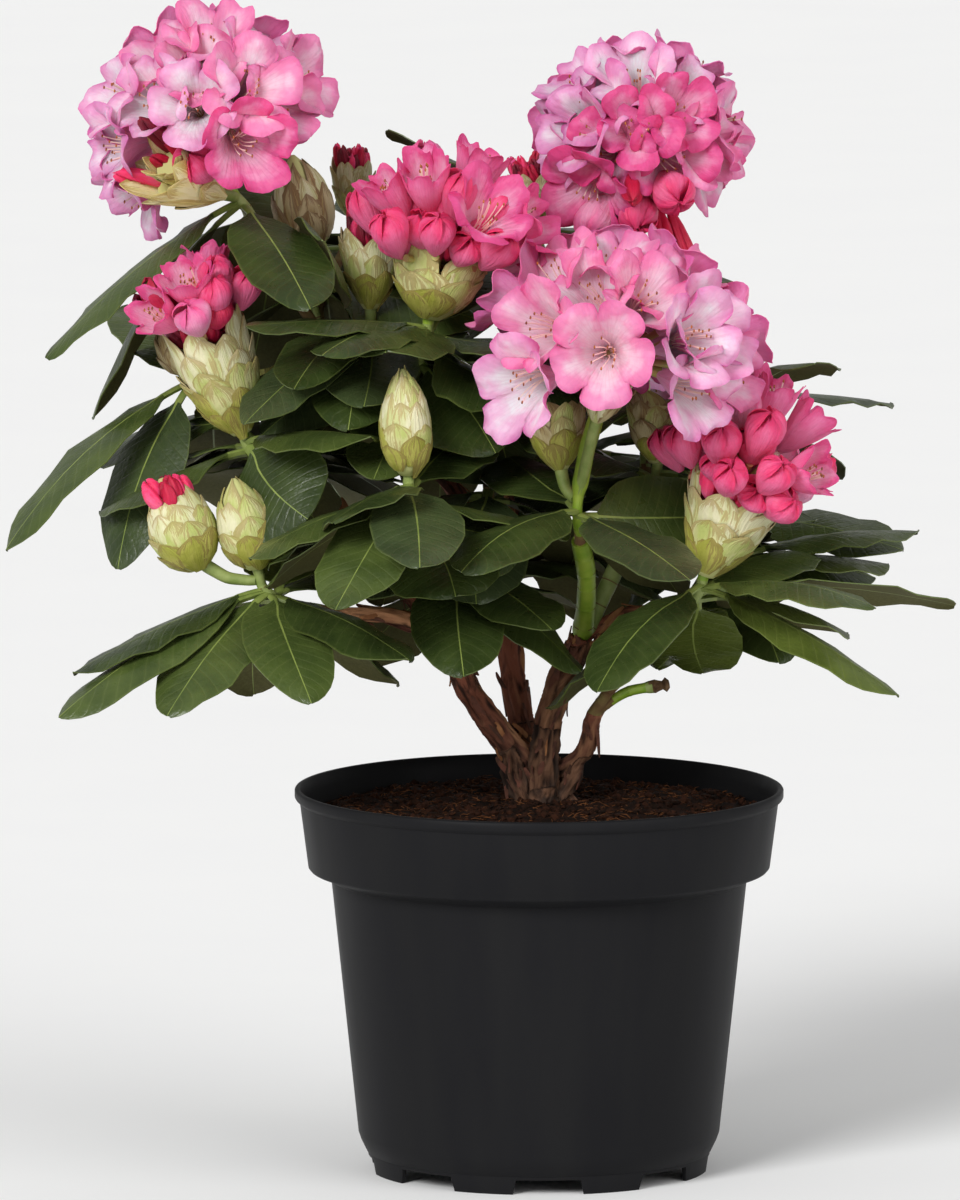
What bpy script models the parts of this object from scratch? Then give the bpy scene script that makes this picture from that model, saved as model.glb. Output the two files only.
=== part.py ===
# A rhododendron in flower in a round nursery pot, as separate closed pieces.
# Metres, +Z up. The origin is the middle of the pot's underside, and -Y is the side that shows.
import math
import random

import bmesh
import bpy
from mathutils import Matrix, Vector, noise
from mathutils.bvhtree import BVHTree

MM = 0.001
TOUCH_GAP = 0.3 * MM

# Pot, radii and heights
POT_STEPS = 32
POT_HEIGHT = 181 * MM
LIP_RADIUS = 115 * MM
LIP_THICKNESS = 2.6 * MM
BEAD_HEIGHT = 4.5 * MM
BAND_TOP_RADIUS = 112.6 * MM
BAND_FOOT_RADIUS = 108.6 * MM
BAND_FOOT_HEIGHT = 143 * MM
SHOULDER_RADIUS = 97.8 * MM
SHOULDER_HEIGHT = 138 * MM
BODY_FOOT_RADIUS = 85.1 * MM
BODY_FOOT_HEIGHT = 18 * MM
STEP_RADIUS = 80.7 * MM
STEP_HEIGHT = 8.6 * MM
FOOT_RADIUS = 79.5 * MM
WALL = 1.9 * MM
FLOOR_UNDERSIDE = 8 * MM
FLOOR_TOP = 10 * MM
PAD_RADIUS = 19 * MM
NOTCH_COUNT = 8
NOTCH_TURN = math.radians(3)
NOTCH_WIDTH = 36 * MM
NOTCH_HEIGHT = 7 * MM
NOTCH_DEPTH = 20 * MM
NOTCH_TAPER = 0.84
DRAIN_RADIUS = 4.5 * MM
DRAIN_PLACE = 66 * MM

# Soil
SOIL_EDGE_HEIGHT = 168 * MM
SOIL_HEIGHT = 175 * MM
SOIL_BUMP = 1.6 * MM
FLAT_SPOT_RADIUS = 24 * MM
SOIL_SLOPE = ((52, 1.0), (82, 3.5))
SOIL_LUMPS = 40

# Trunk: height above the soil, radius, and the middle of its foot and of its crown
TRUNK_RINGS = ((0.3, 14.6), (3.5, 12.6), (9, 12.2), (15, 12.6), (21, 10.5), (25, 7.5))
TRUNK_SIDES = 12
TRUNK_FOOT = (3, 6)
TRUNK_CROWN = (-1, 7)
ROOT_FLARE = 0.12
TRUNK_RIDGES = 0.04

# Where the boughs leave the trunk: start, direction, length of the stub
TRUNK_FORKS = {
    "bough_left": ((-3, 4, 188), (-0.66, -0.28, 0.76), 18),
    "bough_middle": ((-4, 12, 191), (-0.22, 0.32, 1.00), 21),
    "bough_right": ((2, 1, 193), (0.10, -0.24, 1.00), 19),
    "bough_low_right": ((8, 3, 186), (0.72, -0.30, 0.62), 14),
}

# Limbs: what each grows from, its tip, and its radius at both ends, in millimetres
LIMBS = {
    "bough_left": ("trunk", (-48, -18, 257), 6.8, 5.4),
    "bough_middle": ("trunk", (-16, 30, 272), 6.4, 5.2),
    "bough_right": ("trunk", (20, -8, 253), 6.8, 6.0),
    "bough_low_right": ("trunk", (26, -10, 218), 4.6, 3.8),
    "limb_left_low": ("bough_left", (-96, -36, 268), 4.2, 3.2),
    "limb_left_high": ("bough_left", (-98, 4, 318), 4.2, 3.4),
    "limb_crown": ("bough_middle", (-58, 24, 346), 4.4, 3.8),
    "limb_crown_left": ("limb_crown", (-103, 22, 394), 3.4, 3.0),
    "limb_back": ("bough_middle", (-4, 68, 356), 4.2, 3.4),
    "limb_green_left": ("bough_right", (19, -47, 304), 4.6, 4.2),
    "limb_green_right": ("bough_right", (48, 4, 305), 4.2, 3.8),
    "limb_right": ("bough_right", (66, 10, 264), 3.0, 2.8),
    "limb_cut": ("bough_low_right", (61, -14, 232), 2.6, 2.3),
}
BOUGH_SIDES_LEVEL = 2
LIMB_SIDES_LEVEL = 1
LIMB_POINTS = 5
STEM_POINTS = 3
STUB_FLARE = 1.1
LIMB_GNARL = 1.5 * MM
LIMB_USUAL_LENGTH = 70 * MM
FORK_BLEND = 0.45
FORK_SUNK = 0.6
FORK_REACH = 1.6
FORK_ROOM = 1.12
FORK_LONGEST = 20 * MM

# Shoots: what each grows from, the place of its whorl, the way it leans there, then its leaves.
# A leaf is bearing from +X, fall below level and length, with its roll where it has one.
SHOOTS = {
    "leaves_low_left": ("limb_left_low", (-131, -45, 288), (-0.2, -0.1, 1.0), (
        (-166, 22, 98), (-155, 27, 118), (-124, 26, 95), (-80, 28, 88), (-44, 14, 92),
        (57, -6, 82), (80, -20, 85))),
    "leaves_mid_left": ("limb_left_high", (-138, -25, 350), (-0.3, -0.1, 0.9), (
        (-45, -6, 85), (-78, 19, 75), (114, 16, 82), (-143, 18, 95))),
    "leaves_far_left": ("limb_left_high", (-166, 15, 373), (-0.5, 0.0, 0.8), (
        (-150, 37, 122), (-112, 47, 98), (114, -22, 80))),
    "leaves_centre": ("bough_left", (-61, -80, 337), (0.0, -0.1, 1.0), (
        (-86, 20, 84), (-117, 4, 60, 50), (-122, 38, 80), (63, -15, 80), (101, 43, 88),
        (-165, 20, 80), (150, 26, 84), (20, 14, 82))),
    "leaves_inner_left": ("bough_left", (-38, -25, 291), (0.0, -0.2, 0.9), (
        (-88, 28, 88), (-55, 15, 78), (-130, 34, 80), (-25, 34, 76))),
    "leaves_inner_front": ("bough_middle", (-24, -12, 326), (-0.1, -0.4, 0.9), (
        (-95, 46, 80), (-50, 30, 70), (-160, 24, 76), (150, 30, 82), (30, 30, 80))),
    "leaves_top_left": ("limb_crown_left", (-142, 0, 460), (-0.6, -0.1, 0.6), (
        (-154, 31, 118), (158, 55, 128), (-68, 25, 95))),
    "leaves_upper_left": ("limb_crown_left", (-105, 25, 424), (-0.3, 0.0, 0.9), (
        (97, -50, 88), (-72, -28, 80, -60))),
    "leaves_upper_middle": ("limb_crown", (-52, -45, 406), (0.1, -0.1, 0.9), (
        (-156, -3, 92), (-127, -2, 80), (-108, 14, 72), (56, -26, 80), (-20, 8, 84))),
    "leaves_behind_middle": ("limb_crown", (-79, -5, 402), (0.0, 0.0, 1.0), (
        (-115, 14, 85), (-92, 20, 80), (-135, 24, 90), (175, 25, 86), (-66, 34, 80))),
    "leaves_back_top": ("limb_back", (0, 60, 440), (0.0, 0.1, 1.0), (
        (-148, -24, 86), (60, 10, 84))),
    "leaves_mid_right": ("limb_green_left", (18, -65, 328), (0.1, -0.1, 1.0), (
        (-138, 8, 86), (114, -12, 80), (-54, 14, 90), (57, 25, 84), (51, -1, 80, 70))),
    "leaves_low_right": ("bough_low_right", (76, -55, 287), (0.2, -0.2, 0.9), (
        (-128, 28, 90), (-27, 24, 112), (-29, 2, 92), (14, 5, 124, -20), (48, -9, 80),
        (106, 33, 80), (86, 36, 75), (33, 15, 90), (144, 30, 95))),
    "leaves_inner_right": ("limb_green_right", (55, -20, 335), (0.1, -0.3, 0.9), (
        (10, 18, 80), (45, 28, 80), (80, 20, 82), (-150, -10, 70))),
    "leaves_outer_right": ("limb_right", (97, 10, 293), (0.3, 0.1, 0.9), (
        (64, -8, 80), (44, -20, 85), (30, 6, 80))),
    "leaves_back_right": ("limb_green_right", (98, 40, 365), (0.3, 0.0, 0.9), (
        (-63, -17, 72), (36, 7, 86))),
    "leaves_top_right": ("limb_green_right", (46, 25, 427), (0.0, 0.0, 1.0), (
        (57, 17, 82), (120, 14, 84))),
    "leaves_inner_middle": ("bough_middle", (8, 14, 300), (0.1, -0.1, 0.9), (
        (73, 39, 80), (100, 21, 75), (18, 36, 78))),
    "leaves_back_middle": ("limb_back", (-50, 104, 380), (-0.3, 0.4, 0.8), ()),
    "leaves_back_left": ("limb_left_high", (-120, 84, 350), (-0.4, 0.5, 0.7), ()),
    "leaves_back_top_left": ("limb_crown_left", (-88, 72, 440), (0.1, 0.4, 0.9), (
        (74, -12, 76),)),
    "leaves_back_low_right": ("limb_right", (92, 84, 304), (0.4, 0.6, 0.7), ()),
    "leaves_back_low": ("limb_back", (26, 112, 332), (0.1, 0.5, 0.7), ()),
}
INNER_SHOOTS = ("leaves_behind_middle", "leaves_inner_left", "leaves_inner_front", "leaves_inner_middle",
                "leaves_back_top_left")
WHORL_COUNT = 10
BACK_BEARINGS = (18, 162)
FILL_TRIES = 30
GOLDEN_TURN = 137.5
FILL_FALL = (4, 42)
FILL_LENGTH = (76, 96)
FILL_APART = 20
FILL_ROLL = 18
FILL_STEM_SHARE = 0.6
STEM_RADIUS = 2.7 * MM
STEM_TIP_RADIUS = 2.3 * MM
STEM_SIDES_LEVEL = 1
STEM_STRAIGHT = 7 * MM
ROOT_START = 2.0 * MM
ROOT_START_BELOW_SIDE_BUD = 7.5 * MM
SIDE_BUD_START = 2.5 * MM
ROOT_STEP = 1.3 * MM
ROOT_OUT = 1.0 * MM
STRAIGHT = 1.6 * MM

# Leaf outline: share of the length, share of the half width; shorter leaves are broader
LEAF_OUTLINE = ((0.0, 0.06), (0.13, 0.08), (0.42, 0.88), (0.78, 0.90))
LEAF_HALF_WIDTH = 18.5 * MM
LEAF_USUAL_LENGTH = 88 * MM
LEAF_THICKNESS = 1.3 * MM
LEAF_BEND = 26
LEAF_FOLD = 0.15
LEAF_ROOM = 1.0 * MM
NUDGES = ((0, 0), (5, 0), (-5, 0), (0, 5), (0, -5), (8, 6), (-8, 6), (8, -6), (-8, -6), (0, 11),
          (0, -11), (14, 0), (-14, 0), (16, 10), (-16, 10), (16, -10), (-16, -10), (0, 18), (24, 4), (-24, 4),
          (32, -8), (-32, -8), (32, 14), (-32, 14), (0, -18))

# Flower heads: shoot, direction, stalk length, length and radius of the scaly body, how far up the
# flowers spread from, their reach along the head and out from it, number, spread, first turn, radius
HEADS = {
    "flowers_top_left": ("leaves_top_left", (-0.32, -0.08, 0.95), 10, 20, 9, 36, 53, 58, 12, 102, 60, 26),
    "flowers_top_right": ("leaves_top_right", (0.03, -0.05, 1.0), 32, 16, 8, 56, 48, 50, 10, 106, 220, 26),
    "flowers_right": ("leaves_mid_right", (0.24, -0.13, 0.96), 44, 16, 8, 66, 56, 74, 12, 96, 80, 28),
    "flowers_back": ("leaves_back_low", (0.20, 0.10, 0.95), 14, 16, 8, 34, 42, 44, 8, 90, 0, 25),
}
# Heads that are opening: the same values, with flowers that are still shut
OPENING_HEADS = {
    "flowers_middle": ("leaves_upper_middle", (0.20, -0.02, 1.0), 2, 36, 20, 26, 63, 52, 11, 64, 0, 12),
    "flowers_low_right": ("leaves_low_right", (0.34, -0.06, 0.9), 2, 44, 20, 44, 60, 46, 10, 76, 0, 12),
    "flowers_left": ("leaves_mid_left", (-0.34, -0.06, 0.94), 2, 56, 18, 46, 49, 38, 8, 50, 0, 11),
}
CORE_RADIUS = 7 * MM
PEDICEL_RADIUS = 1.6 * MM
TUBE_RADIUS = 4.2 * MM
TUBE_START = 0.42
DISH_DEPTH = 0.24
PETAL_COUNT = 5
SHUT_WIDEST = 0.76
FLOWER_ROOM = 1.0 * MM
FLOWER_NUDGES = (0, -8, -16, -24, -34)

# Buds: shoot, side it stands on (none is the tip), direction, stalk, length and radius
BUDS = {
    "bud_low_left_red": ("leaves_low_left", (-1.0, 0.04, 0.22), (-0.39, 0.0, 0.92), 26, 46, 15.5),
    "bud_low_left": ("leaves_low_left", None, (-0.26, -0.10, 1.0), 3, 44, 13.5),
    "bud_centre": ("leaves_centre", None, (-0.05, -0.05, 1.0), 2, 50, 12),
    "bud_right": ("leaves_mid_right", (-0.38, 0.49, 0.78), (-0.10, 0.02, 1.0), 16, 37, 13),
    "bud_inner_right": ("leaves_inner_right", None, (0.03, -0.05, 1.0), 2, 38, 14),
    "bud_upper_left": ("leaves_upper_left", None, (-0.20, -0.12, 1.0), 9, 46, 14),
    "bud_behind_middle": ("leaves_behind_middle", None, (0.0, -0.05, 1.0), 6, 50, 13.5),
    "bud_back_top_left": ("leaves_back_top_left", None, (0.0, -0.1, 1.0), 2, 36, 9.5),
    "bud_far_left": ("leaves_far_left", None, (-0.35, -0.10, 0.9), 2, 28, 8),
    "bud_back_top": ("leaves_back_top", None, (-0.22, -0.1, 1.0), 2, 32, 10),
    "bud_back_middle": ("leaves_back_middle", None, (-0.1, 0.3, 0.9), 2, 42, 13),
    "bud_back_left": ("leaves_back_left", None, (-0.2, 0.3, 0.9), 2, 42, 13),
    "bud_back_low_right": ("leaves_back_low_right", None, (0.2, 0.3, 0.9), 2, 40, 13),
}
BUD_OUTLINE = ((0.0, 0.35), (0.12, 0.78), (0.38, 1.0), (0.70, 0.84), (0.95, 0.26))
CUP_OUTLINE = ((0.0, 0.30), (0.14, 0.72), (0.45, 1.0), (0.85, 1.0), (1.0, 0.86))
BUD_STEPS = 6
STALK_RADIUS = 2.6 * MM
LONG_STALK = 20
LONG_STALK_SCALE = 1.6
BUD_SUNK = 0.4
BODY_TIP = 1.02

# Colours and surface
BLACK_PLASTIC = (0.012, 0.012, 0.013, 1)
DARK_SOIL = (0.020, 0.009, 0.005, 1)
BARK = (0.150, 0.055, 0.032, 1)
GREEN_BARK = (0.190, 0.330, 0.022, 1)
LEAF_GREEN = (0.036, 0.070, 0.016, 1)
PETAL_PINK = (0.740, 0.130, 0.340, 1)
PETAL_RED = (0.600, 0.022, 0.105, 1)
SCALE_GREEN = (0.500, 0.500, 0.200, 1)
GREEN_LIMBS = ("limb_green_left", "limb_green_right")
SHARP_ANGLE = math.radians(40)


def clear_scene():
    for thing in list(bpy.data.objects):
        bpy.data.objects.remove(thing, do_unlink=True)


def point(values):
    return Vector(values) * MM


def material(name, colour, roughness):
    surface = bpy.data.materials.new(name)
    surface.use_nodes = True
    shader = surface.node_tree.nodes["Principled BSDF"]
    shader.inputs["Base Color"].default_value = colour
    shader.inputs["Roughness"].default_value = roughness
    surface.diffuse_color = colour
    return surface


def finished(name, bm, surface=None):
    """Turn a bmesh into a named object with outward faces."""
    bmesh.ops.recalc_face_normals(bm, faces=bm.faces)
    mesh = bpy.data.meshes.new(name)
    bm.to_mesh(mesh)
    bm.free()
    thing = bpy.data.objects.new(name, mesh)
    bpy.context.scene.collection.objects.link(thing)
    if surface:
        mesh.materials.append(surface)
    return thing


def turned(name, profile, steps, frame=Matrix()):
    """Spin a profile of (radius, height) points about the frame's Z axis."""
    bm = bmesh.new()
    verts = [bm.verts.new((radius, 0, height)) for radius, height in profile]
    edges = [bm.edges.new(pair) for pair in zip(verts, verts[1:])]
    bmesh.ops.spin(bm, geom=verts + edges, cent=(0, 0, 0), axis=(0, 0, 1), angle=math.tau, steps=steps,
                   use_merge=True)
    bmesh.ops.remove_doubles(bm, verts=bm.verts, dist=1e-6)
    bmesh.ops.transform(bm, matrix=frame, verts=bm.verts)
    return finished(name, bm)


def lofted(name, rings, tip=None):
    """Bridge a row of rings, close the first with a face and the last with a face or a point."""
    bm = bmesh.new()
    loops = []
    for ring in rings:
        verts = [bm.verts.new(place) for place in ring]
        loops.append([bm.edges.new(pair) for pair in zip(verts, verts[1:] + verts[:1])])
    for near, far in zip(loops, loops[1:]):
        bmesh.ops.bridge_loops(bm, edges=near + far)
    bmesh.ops.contextual_create(bm, geom=loops[0])
    if tip is None:
        bmesh.ops.contextual_create(bm, geom=loops[-1])
    else:
        fan = bmesh.ops.extrude_edge_only(bm, edges=loops[-1])["geom"]
        bmesh.ops.pointmerge(bm, verts=[v for v in fan if isinstance(v, bmesh.types.BMVert)], merge_co=tip)
    return finished(name, bm)


def tube(name, places, radii, level):
    """A tapering round limb as a bevelled curve with filled caps, turned into a mesh."""
    curve = bpy.data.curves.new(name, "CURVE")
    curve.dimensions = "3D"
    curve.bevel_depth = 1.0
    curve.bevel_resolution = level
    curve.render_resolution_u = 0
    curve.use_fill_caps = True
    spline = curve.splines.new("POLY")
    spline.points.add(len(places) - 1)
    for knot, place, radius in zip(spline.points, places, radii):
        knot.co = (*place, 1)
        knot.radius = radius
    guide = bpy.data.objects.new(name, curve)
    bpy.context.scene.collection.objects.link(guide)
    depsgraph = bpy.context.evaluated_depsgraph_get()
    mesh = bpy.data.meshes.new_from_object(guide.evaluated_get(depsgraph))
    bpy.data.objects.remove(guide, do_unlink=True)
    bpy.data.curves.remove(curve)
    bm = bmesh.new()
    bm.from_mesh(mesh)
    bpy.data.meshes.remove(mesh)
    bmesh.ops.remove_doubles(bm, verts=bm.verts, dist=1e-6)
    return finished(name, bm)


def largest_shell(thing):
    """Keep the largest connected shell, so a sealed hollow or a loose scrap is gone."""
    bm = bmesh.new()
    bm.from_mesh(thing.data)
    left = set(bm.faces)
    shells = []
    while left:
        first = left.pop()
        shell = {first}
        edge_of_shell = [first]
        while edge_of_shell:
            face = edge_of_shell.pop()
            for edge in face.edges:
                for other in edge.link_faces:
                    if other not in shell:
                        shell.add(other)
                        left.discard(other)
                        edge_of_shell.append(other)
        shells.append(shell)
    keep = max(shells, key=lambda shell: sum(face.calc_area() for face in shell))
    bmesh.ops.delete(bm, geom=[face for face in bm.faces if face not in keep], context="FACES")
    bm.to_mesh(thing.data)
    bm.free()


def joined(base, others, operation="UNION"):
    """One Boolean on a collection, applied, with the collection's objects then removed."""
    if not others:
        return base
    group = bpy.data.collections.new("pieces")
    bpy.context.scene.collection.children.link(group)
    for other in others:
        bpy.context.scene.collection.objects.unlink(other)
        group.objects.link(other)
    cut = base.modifiers.new("join", "BOOLEAN")
    cut.operation = operation
    cut.operand_type = "COLLECTION"
    cut.collection = group
    cut.solver = "EXACT"
    depsgraph = bpy.context.evaluated_depsgraph_get()
    mesh = bpy.data.meshes.new_from_object(base.evaluated_get(depsgraph))
    base.modifiers.clear()
    base.data = mesh
    for other in others:
        bpy.data.objects.remove(other, do_unlink=True)
    bpy.data.collections.remove(group)
    largest_shell(base)
    return base


def surfaced(thing, surface):
    thing.data.materials.clear()
    thing.data.materials.append(surface)
    return thing


def frame_at(place, way):
    """A frame at a place whose Z axis points along a way."""
    return Matrix.Translation(place) @ way.to_track_quat("Z", "Y").to_matrix().to_4x4()


def sweep(start, start_way, end, end_way, count):
    """Places along a smooth curve that leaves and arrives in the given directions."""
    pull = (end - start).length
    places = []
    for step in range(count):
        t = step / (count - 1)
        places.append(start * (2 * t**3 - 3 * t**2 + 1) + start_way * pull * (t**3 - 2 * t**2 + t)
                      + end * (3 * t**2 - 2 * t**3) + end_way * pull * (t**3 - t**2))
    return places


def grown(start, start_way, end, end_way, count, tip_straight=STRAIGHT):
    """A smooth path whose two ends run straight, so that its caps stand square."""
    near = start + start_way * STRAIGHT
    far = end - end_way * tip_straight
    return [start, *sweep(near, start_way, far, end_way, count), end]


def make_pot(surface):
    outer = [(0, 0), (PAD_RADIUS, 0), (PAD_RADIUS + WALL / 2, FLOOR_UNDERSIDE),
             (FOOT_RADIUS - WALL, FLOOR_UNDERSIDE), (FOOT_RADIUS - WALL, 0), (FOOT_RADIUS, 0),
             (STEP_RADIUS, STEP_HEIGHT), (BODY_FOOT_RADIUS, BODY_FOOT_HEIGHT),
             (SHOULDER_RADIUS, SHOULDER_HEIGHT), (BAND_FOOT_RADIUS, BAND_FOOT_HEIGHT),
             (BAND_TOP_RADIUS, POT_HEIGHT - BEAD_HEIGHT - WALL),
             (LIP_RADIUS, POT_HEIGHT - BEAD_HEIGHT), (LIP_RADIUS, POT_HEIGHT - WALL / 2),
             (LIP_RADIUS - WALL / 2, POT_HEIGHT)]
    inner = [(LIP_RADIUS - LIP_THICKNESS, POT_HEIGHT)] + inner_wall(0)
    pot = turned("pot", outer + inner + [(0, FLOOR_TOP)], POT_STEPS)
    cutters = []
    for number in range(NOTCH_COUNT):
        turn = Matrix.Rotation(NOTCH_TURN + number * math.tau / NOTCH_COUNT, 4, "Z")
        bm = bmesh.new()
        made = bmesh.ops.create_cube(bm, size=1)["verts"]
        for vert in made:
            vert.co.x *= NOTCH_WIDTH * (NOTCH_TAPER if vert.co.z > 0 else 1)
            vert.co.y = -FOOT_RADIUS + vert.co.y * NOTCH_DEPTH
            vert.co.z *= 2 * NOTCH_HEIGHT
        bmesh.ops.transform(bm, matrix=turn, verts=bm.verts)
        cutters.append(finished("notch", bm))
        bm = bmesh.new()
        bmesh.ops.create_cone(bm, cap_ends=True, segments=8, radius1=DRAIN_RADIUS, radius2=DRAIN_RADIUS,
                              depth=4 * FLOOR_UNDERSIDE,
                              matrix=turn @ Matrix.Translation((0, -DRAIN_PLACE, FLOOR_TOP)))
        cutters.append(finished("drain", bm))
    joined(pot, cutters, "DIFFERENCE")
    surfaced(pot, surface)
    return pot


def inner_wall(gap):
    """The pot's inside from the bead down to the floor, drawn in by a gap."""
    return [(BAND_TOP_RADIUS - WALL - gap, POT_HEIGHT - BEAD_HEIGHT - WALL),
            (BAND_FOOT_RADIUS - WALL - gap, BAND_FOOT_HEIGHT + WALL + gap),
            (SHOULDER_RADIUS - WALL - gap, SHOULDER_HEIGHT + WALL + 2 * gap),
            (BODY_FOOT_RADIUS - WALL - gap, BODY_FOOT_HEIGHT + gap),
            (FOOT_RADIUS - WALL - gap, FLOOR_TOP + gap)]


def make_soil(surface):
    gap = 1.5 * TOUCH_GAP
    wall = inner_wall(gap)
    slope = (BAND_TOP_RADIUS - BAND_FOOT_RADIUS) / (POT_HEIGHT - BEAD_HEIGHT - BAND_FOOT_HEIGHT)
    edge_radius = wall[1][0] + slope * (SOIL_EDGE_HEIGHT - BAND_FOOT_HEIGHT)
    top = [(0, SOIL_HEIGHT), (FLAT_SPOT_RADIUS, SOIL_HEIGHT)]
    top += [(radius * MM, SOIL_HEIGHT - drop * MM) for radius, drop in SOIL_SLOPE]
    top.append((edge_radius, SOIL_EDGE_HEIGHT))
    soil = turned("soil", [(0, FLOOR_TOP + gap)] + wall[:0:-1] + top[::-1], POT_STEPS)
    for vert in soil.data.vertices:
        reach = math.hypot(vert.co.x, vert.co.y)
        if vert.co.z > SOIL_EDGE_HEIGHT + 1 * MM and reach > FLAT_SPOT_RADIUS + 1 * MM:
            vert.co.z += SOIL_BUMP * noise.noise(vert.co * SOIL_LUMPS)
    return surfaced(soil, surface)


def trunk_ring(height, radius):
    share = height / TRUNK_RINGS[-1][0]
    middle = Vector(TRUNK_FOOT).lerp(Vector(TRUNK_CROWN), share)
    flare = ROOT_FLARE * (1 - share)
    ring = []
    for side in range(TRUNK_SIDES):
        turn = side * math.tau / TRUNK_SIDES
        reach = radius * (1 + flare * math.sin(3 * turn + 1) + TRUNK_RIDGES * math.sin(5 * turn))
        ring.append(Vector((middle.x + reach * math.cos(turn), middle.y + reach * math.sin(turn), height)) * MM
                    + Vector((0, 0, SOIL_HEIGHT)))
    return ring


def make_trunk(surface):
    body = lofted("trunk", [trunk_ring(height, radius) for height, radius in TRUNK_RINGS])
    stubs = []
    for child, (start, way, length) in TRUNK_FORKS.items():
        start = point(start)
        end = start + Vector(way).normalized() * length * MM
        radius = LIMBS[child][2] * MM
        stubs.append(tube("stub", [start, end], [radius * STUB_FLARE, radius], BOUGH_SIDES_LEVEL))
    return surfaced(joined(body, stubs), surface)


def children_of(parent):
    """Everything that grows from a limb: name, place and radius where it starts."""
    limbs = [(name, point(tip), radius * MM) for name, (grows_from, tip, radius, _) in LIMBS.items()
             if grows_from == parent]
    shoots = [(name, point(spec[1]), STEM_RADIUS) for name, spec in SHOOTS.items() if spec[0] == parent]
    return limbs + shoots


def fork(parent, place, way):
    """Start, direction and radius of each child, far enough out that neighbours stand clear."""
    children = children_of(parent)
    ways = {name: ((tip - place).normalized() + way * FORK_BLEND).normalized() for name, tip, _ in children}
    starts = {}
    for name, _, radius in children:
        reach = radius * FORK_REACH
        for other, _, other_radius in children:
            if other != name:
                angle = ways[name].angle(ways[other])
                reach = max(reach, FORK_ROOM * (radius + other_radius) / (2 * math.sin(angle / 2)))
        starts[name] = (place + ways[name] * min(reach, FORK_LONGEST), ways[name], radius)
    return starts


def limb_places(start, start_way, end, seed):
    """The middle line of a limb, with a slight gnarl between its ends."""
    places = grown(start, start_way, end, (end - start).normalized(), LIMB_POINTS)
    roll = random.Random(seed)
    gnarl = LIMB_GNARL * min(1, (end - start).length / LIMB_USUAL_LENGTH)
    for step in range(2, len(places) - 2):
        places[step] += Vector([roll.uniform(-gnarl, gnarl) for _ in range(3)])
    return places


def tapered(first, last, count):
    return [first + (last - first) * step / (count - 1) for step in range(count)]


def make_limbs(bark, green):
    """Grow each limb from its parent's fork, and return the limbs and the open starts."""
    starts = {}
    for name, (start, way, length) in TRUNK_FORKS.items():
        way = Vector(way).normalized()
        starts[name] = (point(start) + way * length * MM, way, LIMBS[name][2] * MM)
    made = []
    for number, (name, (_, tip, start_radius, tip_radius)) in enumerate(LIMBS.items()):
        start, way, _ = starts[name]
        places = limb_places(start + way * TOUCH_GAP, way, point(tip), number)
        level = BOUGH_SIDES_LEVEL if name in TRUNK_FORKS else LIMB_SIDES_LEVEL
        limb = tube(name, places, tapered(start_radius * MM, tip_radius * MM, len(places)), level)
        tip_way = (places[-1] - places[-2]).normalized()
        forks = fork(name, places[-1], tip_way)
        starts.update(forks)
        stubs = [tube("stub", [places[-1] - child_way * radius * FORK_SUNK, child_start],
                      [radius * STUB_FLARE, radius], LIMB_SIDES_LEVEL)
                 for child_start, child_way, radius in forks.values()]
        joined(limb, stubs)
        made.append(surfaced(limb, green if name in GREEN_LIMBS else bark))
    return made, starts


def leaf_rings(root, bearing, fall, length, roll=0, room=0.0):
    """Rings of two edges and a ridge along a leaf that bends down, and the point of its tip.

    With room to spare the rings are widened, and closed below by two points more."""
    bearing, fall, roll, bend = (math.radians(v) for v in (bearing, fall, roll, LEAF_BEND))
    out = Vector((math.cos(bearing), math.sin(bearing), 0))
    chord = out * math.cos(fall) - Vector((0, 0, math.sin(fall)))
    up = out * math.sin(fall) + Vector((0, 0, math.cos(fall)))
    side = up.cross(chord)
    up, side = up * math.cos(roll) - side * math.sin(roll), side * math.cos(roll) + up * math.sin(roll)
    root = root + chord * ROOT_OUT
    bow = (length - ROOT_OUT + room) / (2 * math.sin(bend / 2))
    widest = LEAF_HALF_WIDTH * math.sqrt(LEAF_USUAL_LENGTH / length)
    rings = []
    for share, half_share in LEAF_OUTLINE:
        turn = bend * (share - 0.5)
        place = root + chord * bow * (math.sin(turn) + math.sin(bend / 2)) \
            + up * bow * (math.cos(turn) - math.cos(bend / 2))
        normal = up * math.cos(turn) + chord * math.sin(turn)
        half = half_share * widest
        right = place + side * (half + room) - normal * half * LEAF_FOLD
        left = place - side * (half + room) - normal * half * LEAF_FOLD
        lift = normal * room
        ring = [right + lift, place + normal * LEAF_THICKNESS / 2 + lift, left + lift]
        rings.append(ring + [left - lift, right - lift] if room else ring)
    return rings, root + chord * (length - ROOT_OUT + room)


def surface_tree(places, faces):
    """A search tree in millimetres, where small faces still cross reliably."""
    return BVHTree.FromPolygons([place / MM for place in places], faces)


def ring_tree(rings, tip):
    """A search tree over the surface of a row of rings with a tip."""
    verts = [place for ring in rings for place in ring] + [tip]
    sides = len(rings[0])
    faces = []
    for row in range(0, len(verts) - 1 - sides, sides):
        for side in range(sides):
            after = (side + 1) % sides
            faces.append((row + side, row + after, row + sides + after, row + sides + side))
    last = len(verts) - 1 - sides
    faces += [(last + side, last + (side + 1) % sides, len(verts) - 1) for side in range(sides)]
    return surface_tree(verts, faces)


def mesh_tree(thing):
    mesh = thing.data
    return surface_tree([vert.co for vert in mesh.vertices], [face.vertices for face in mesh.polygons])


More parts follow.
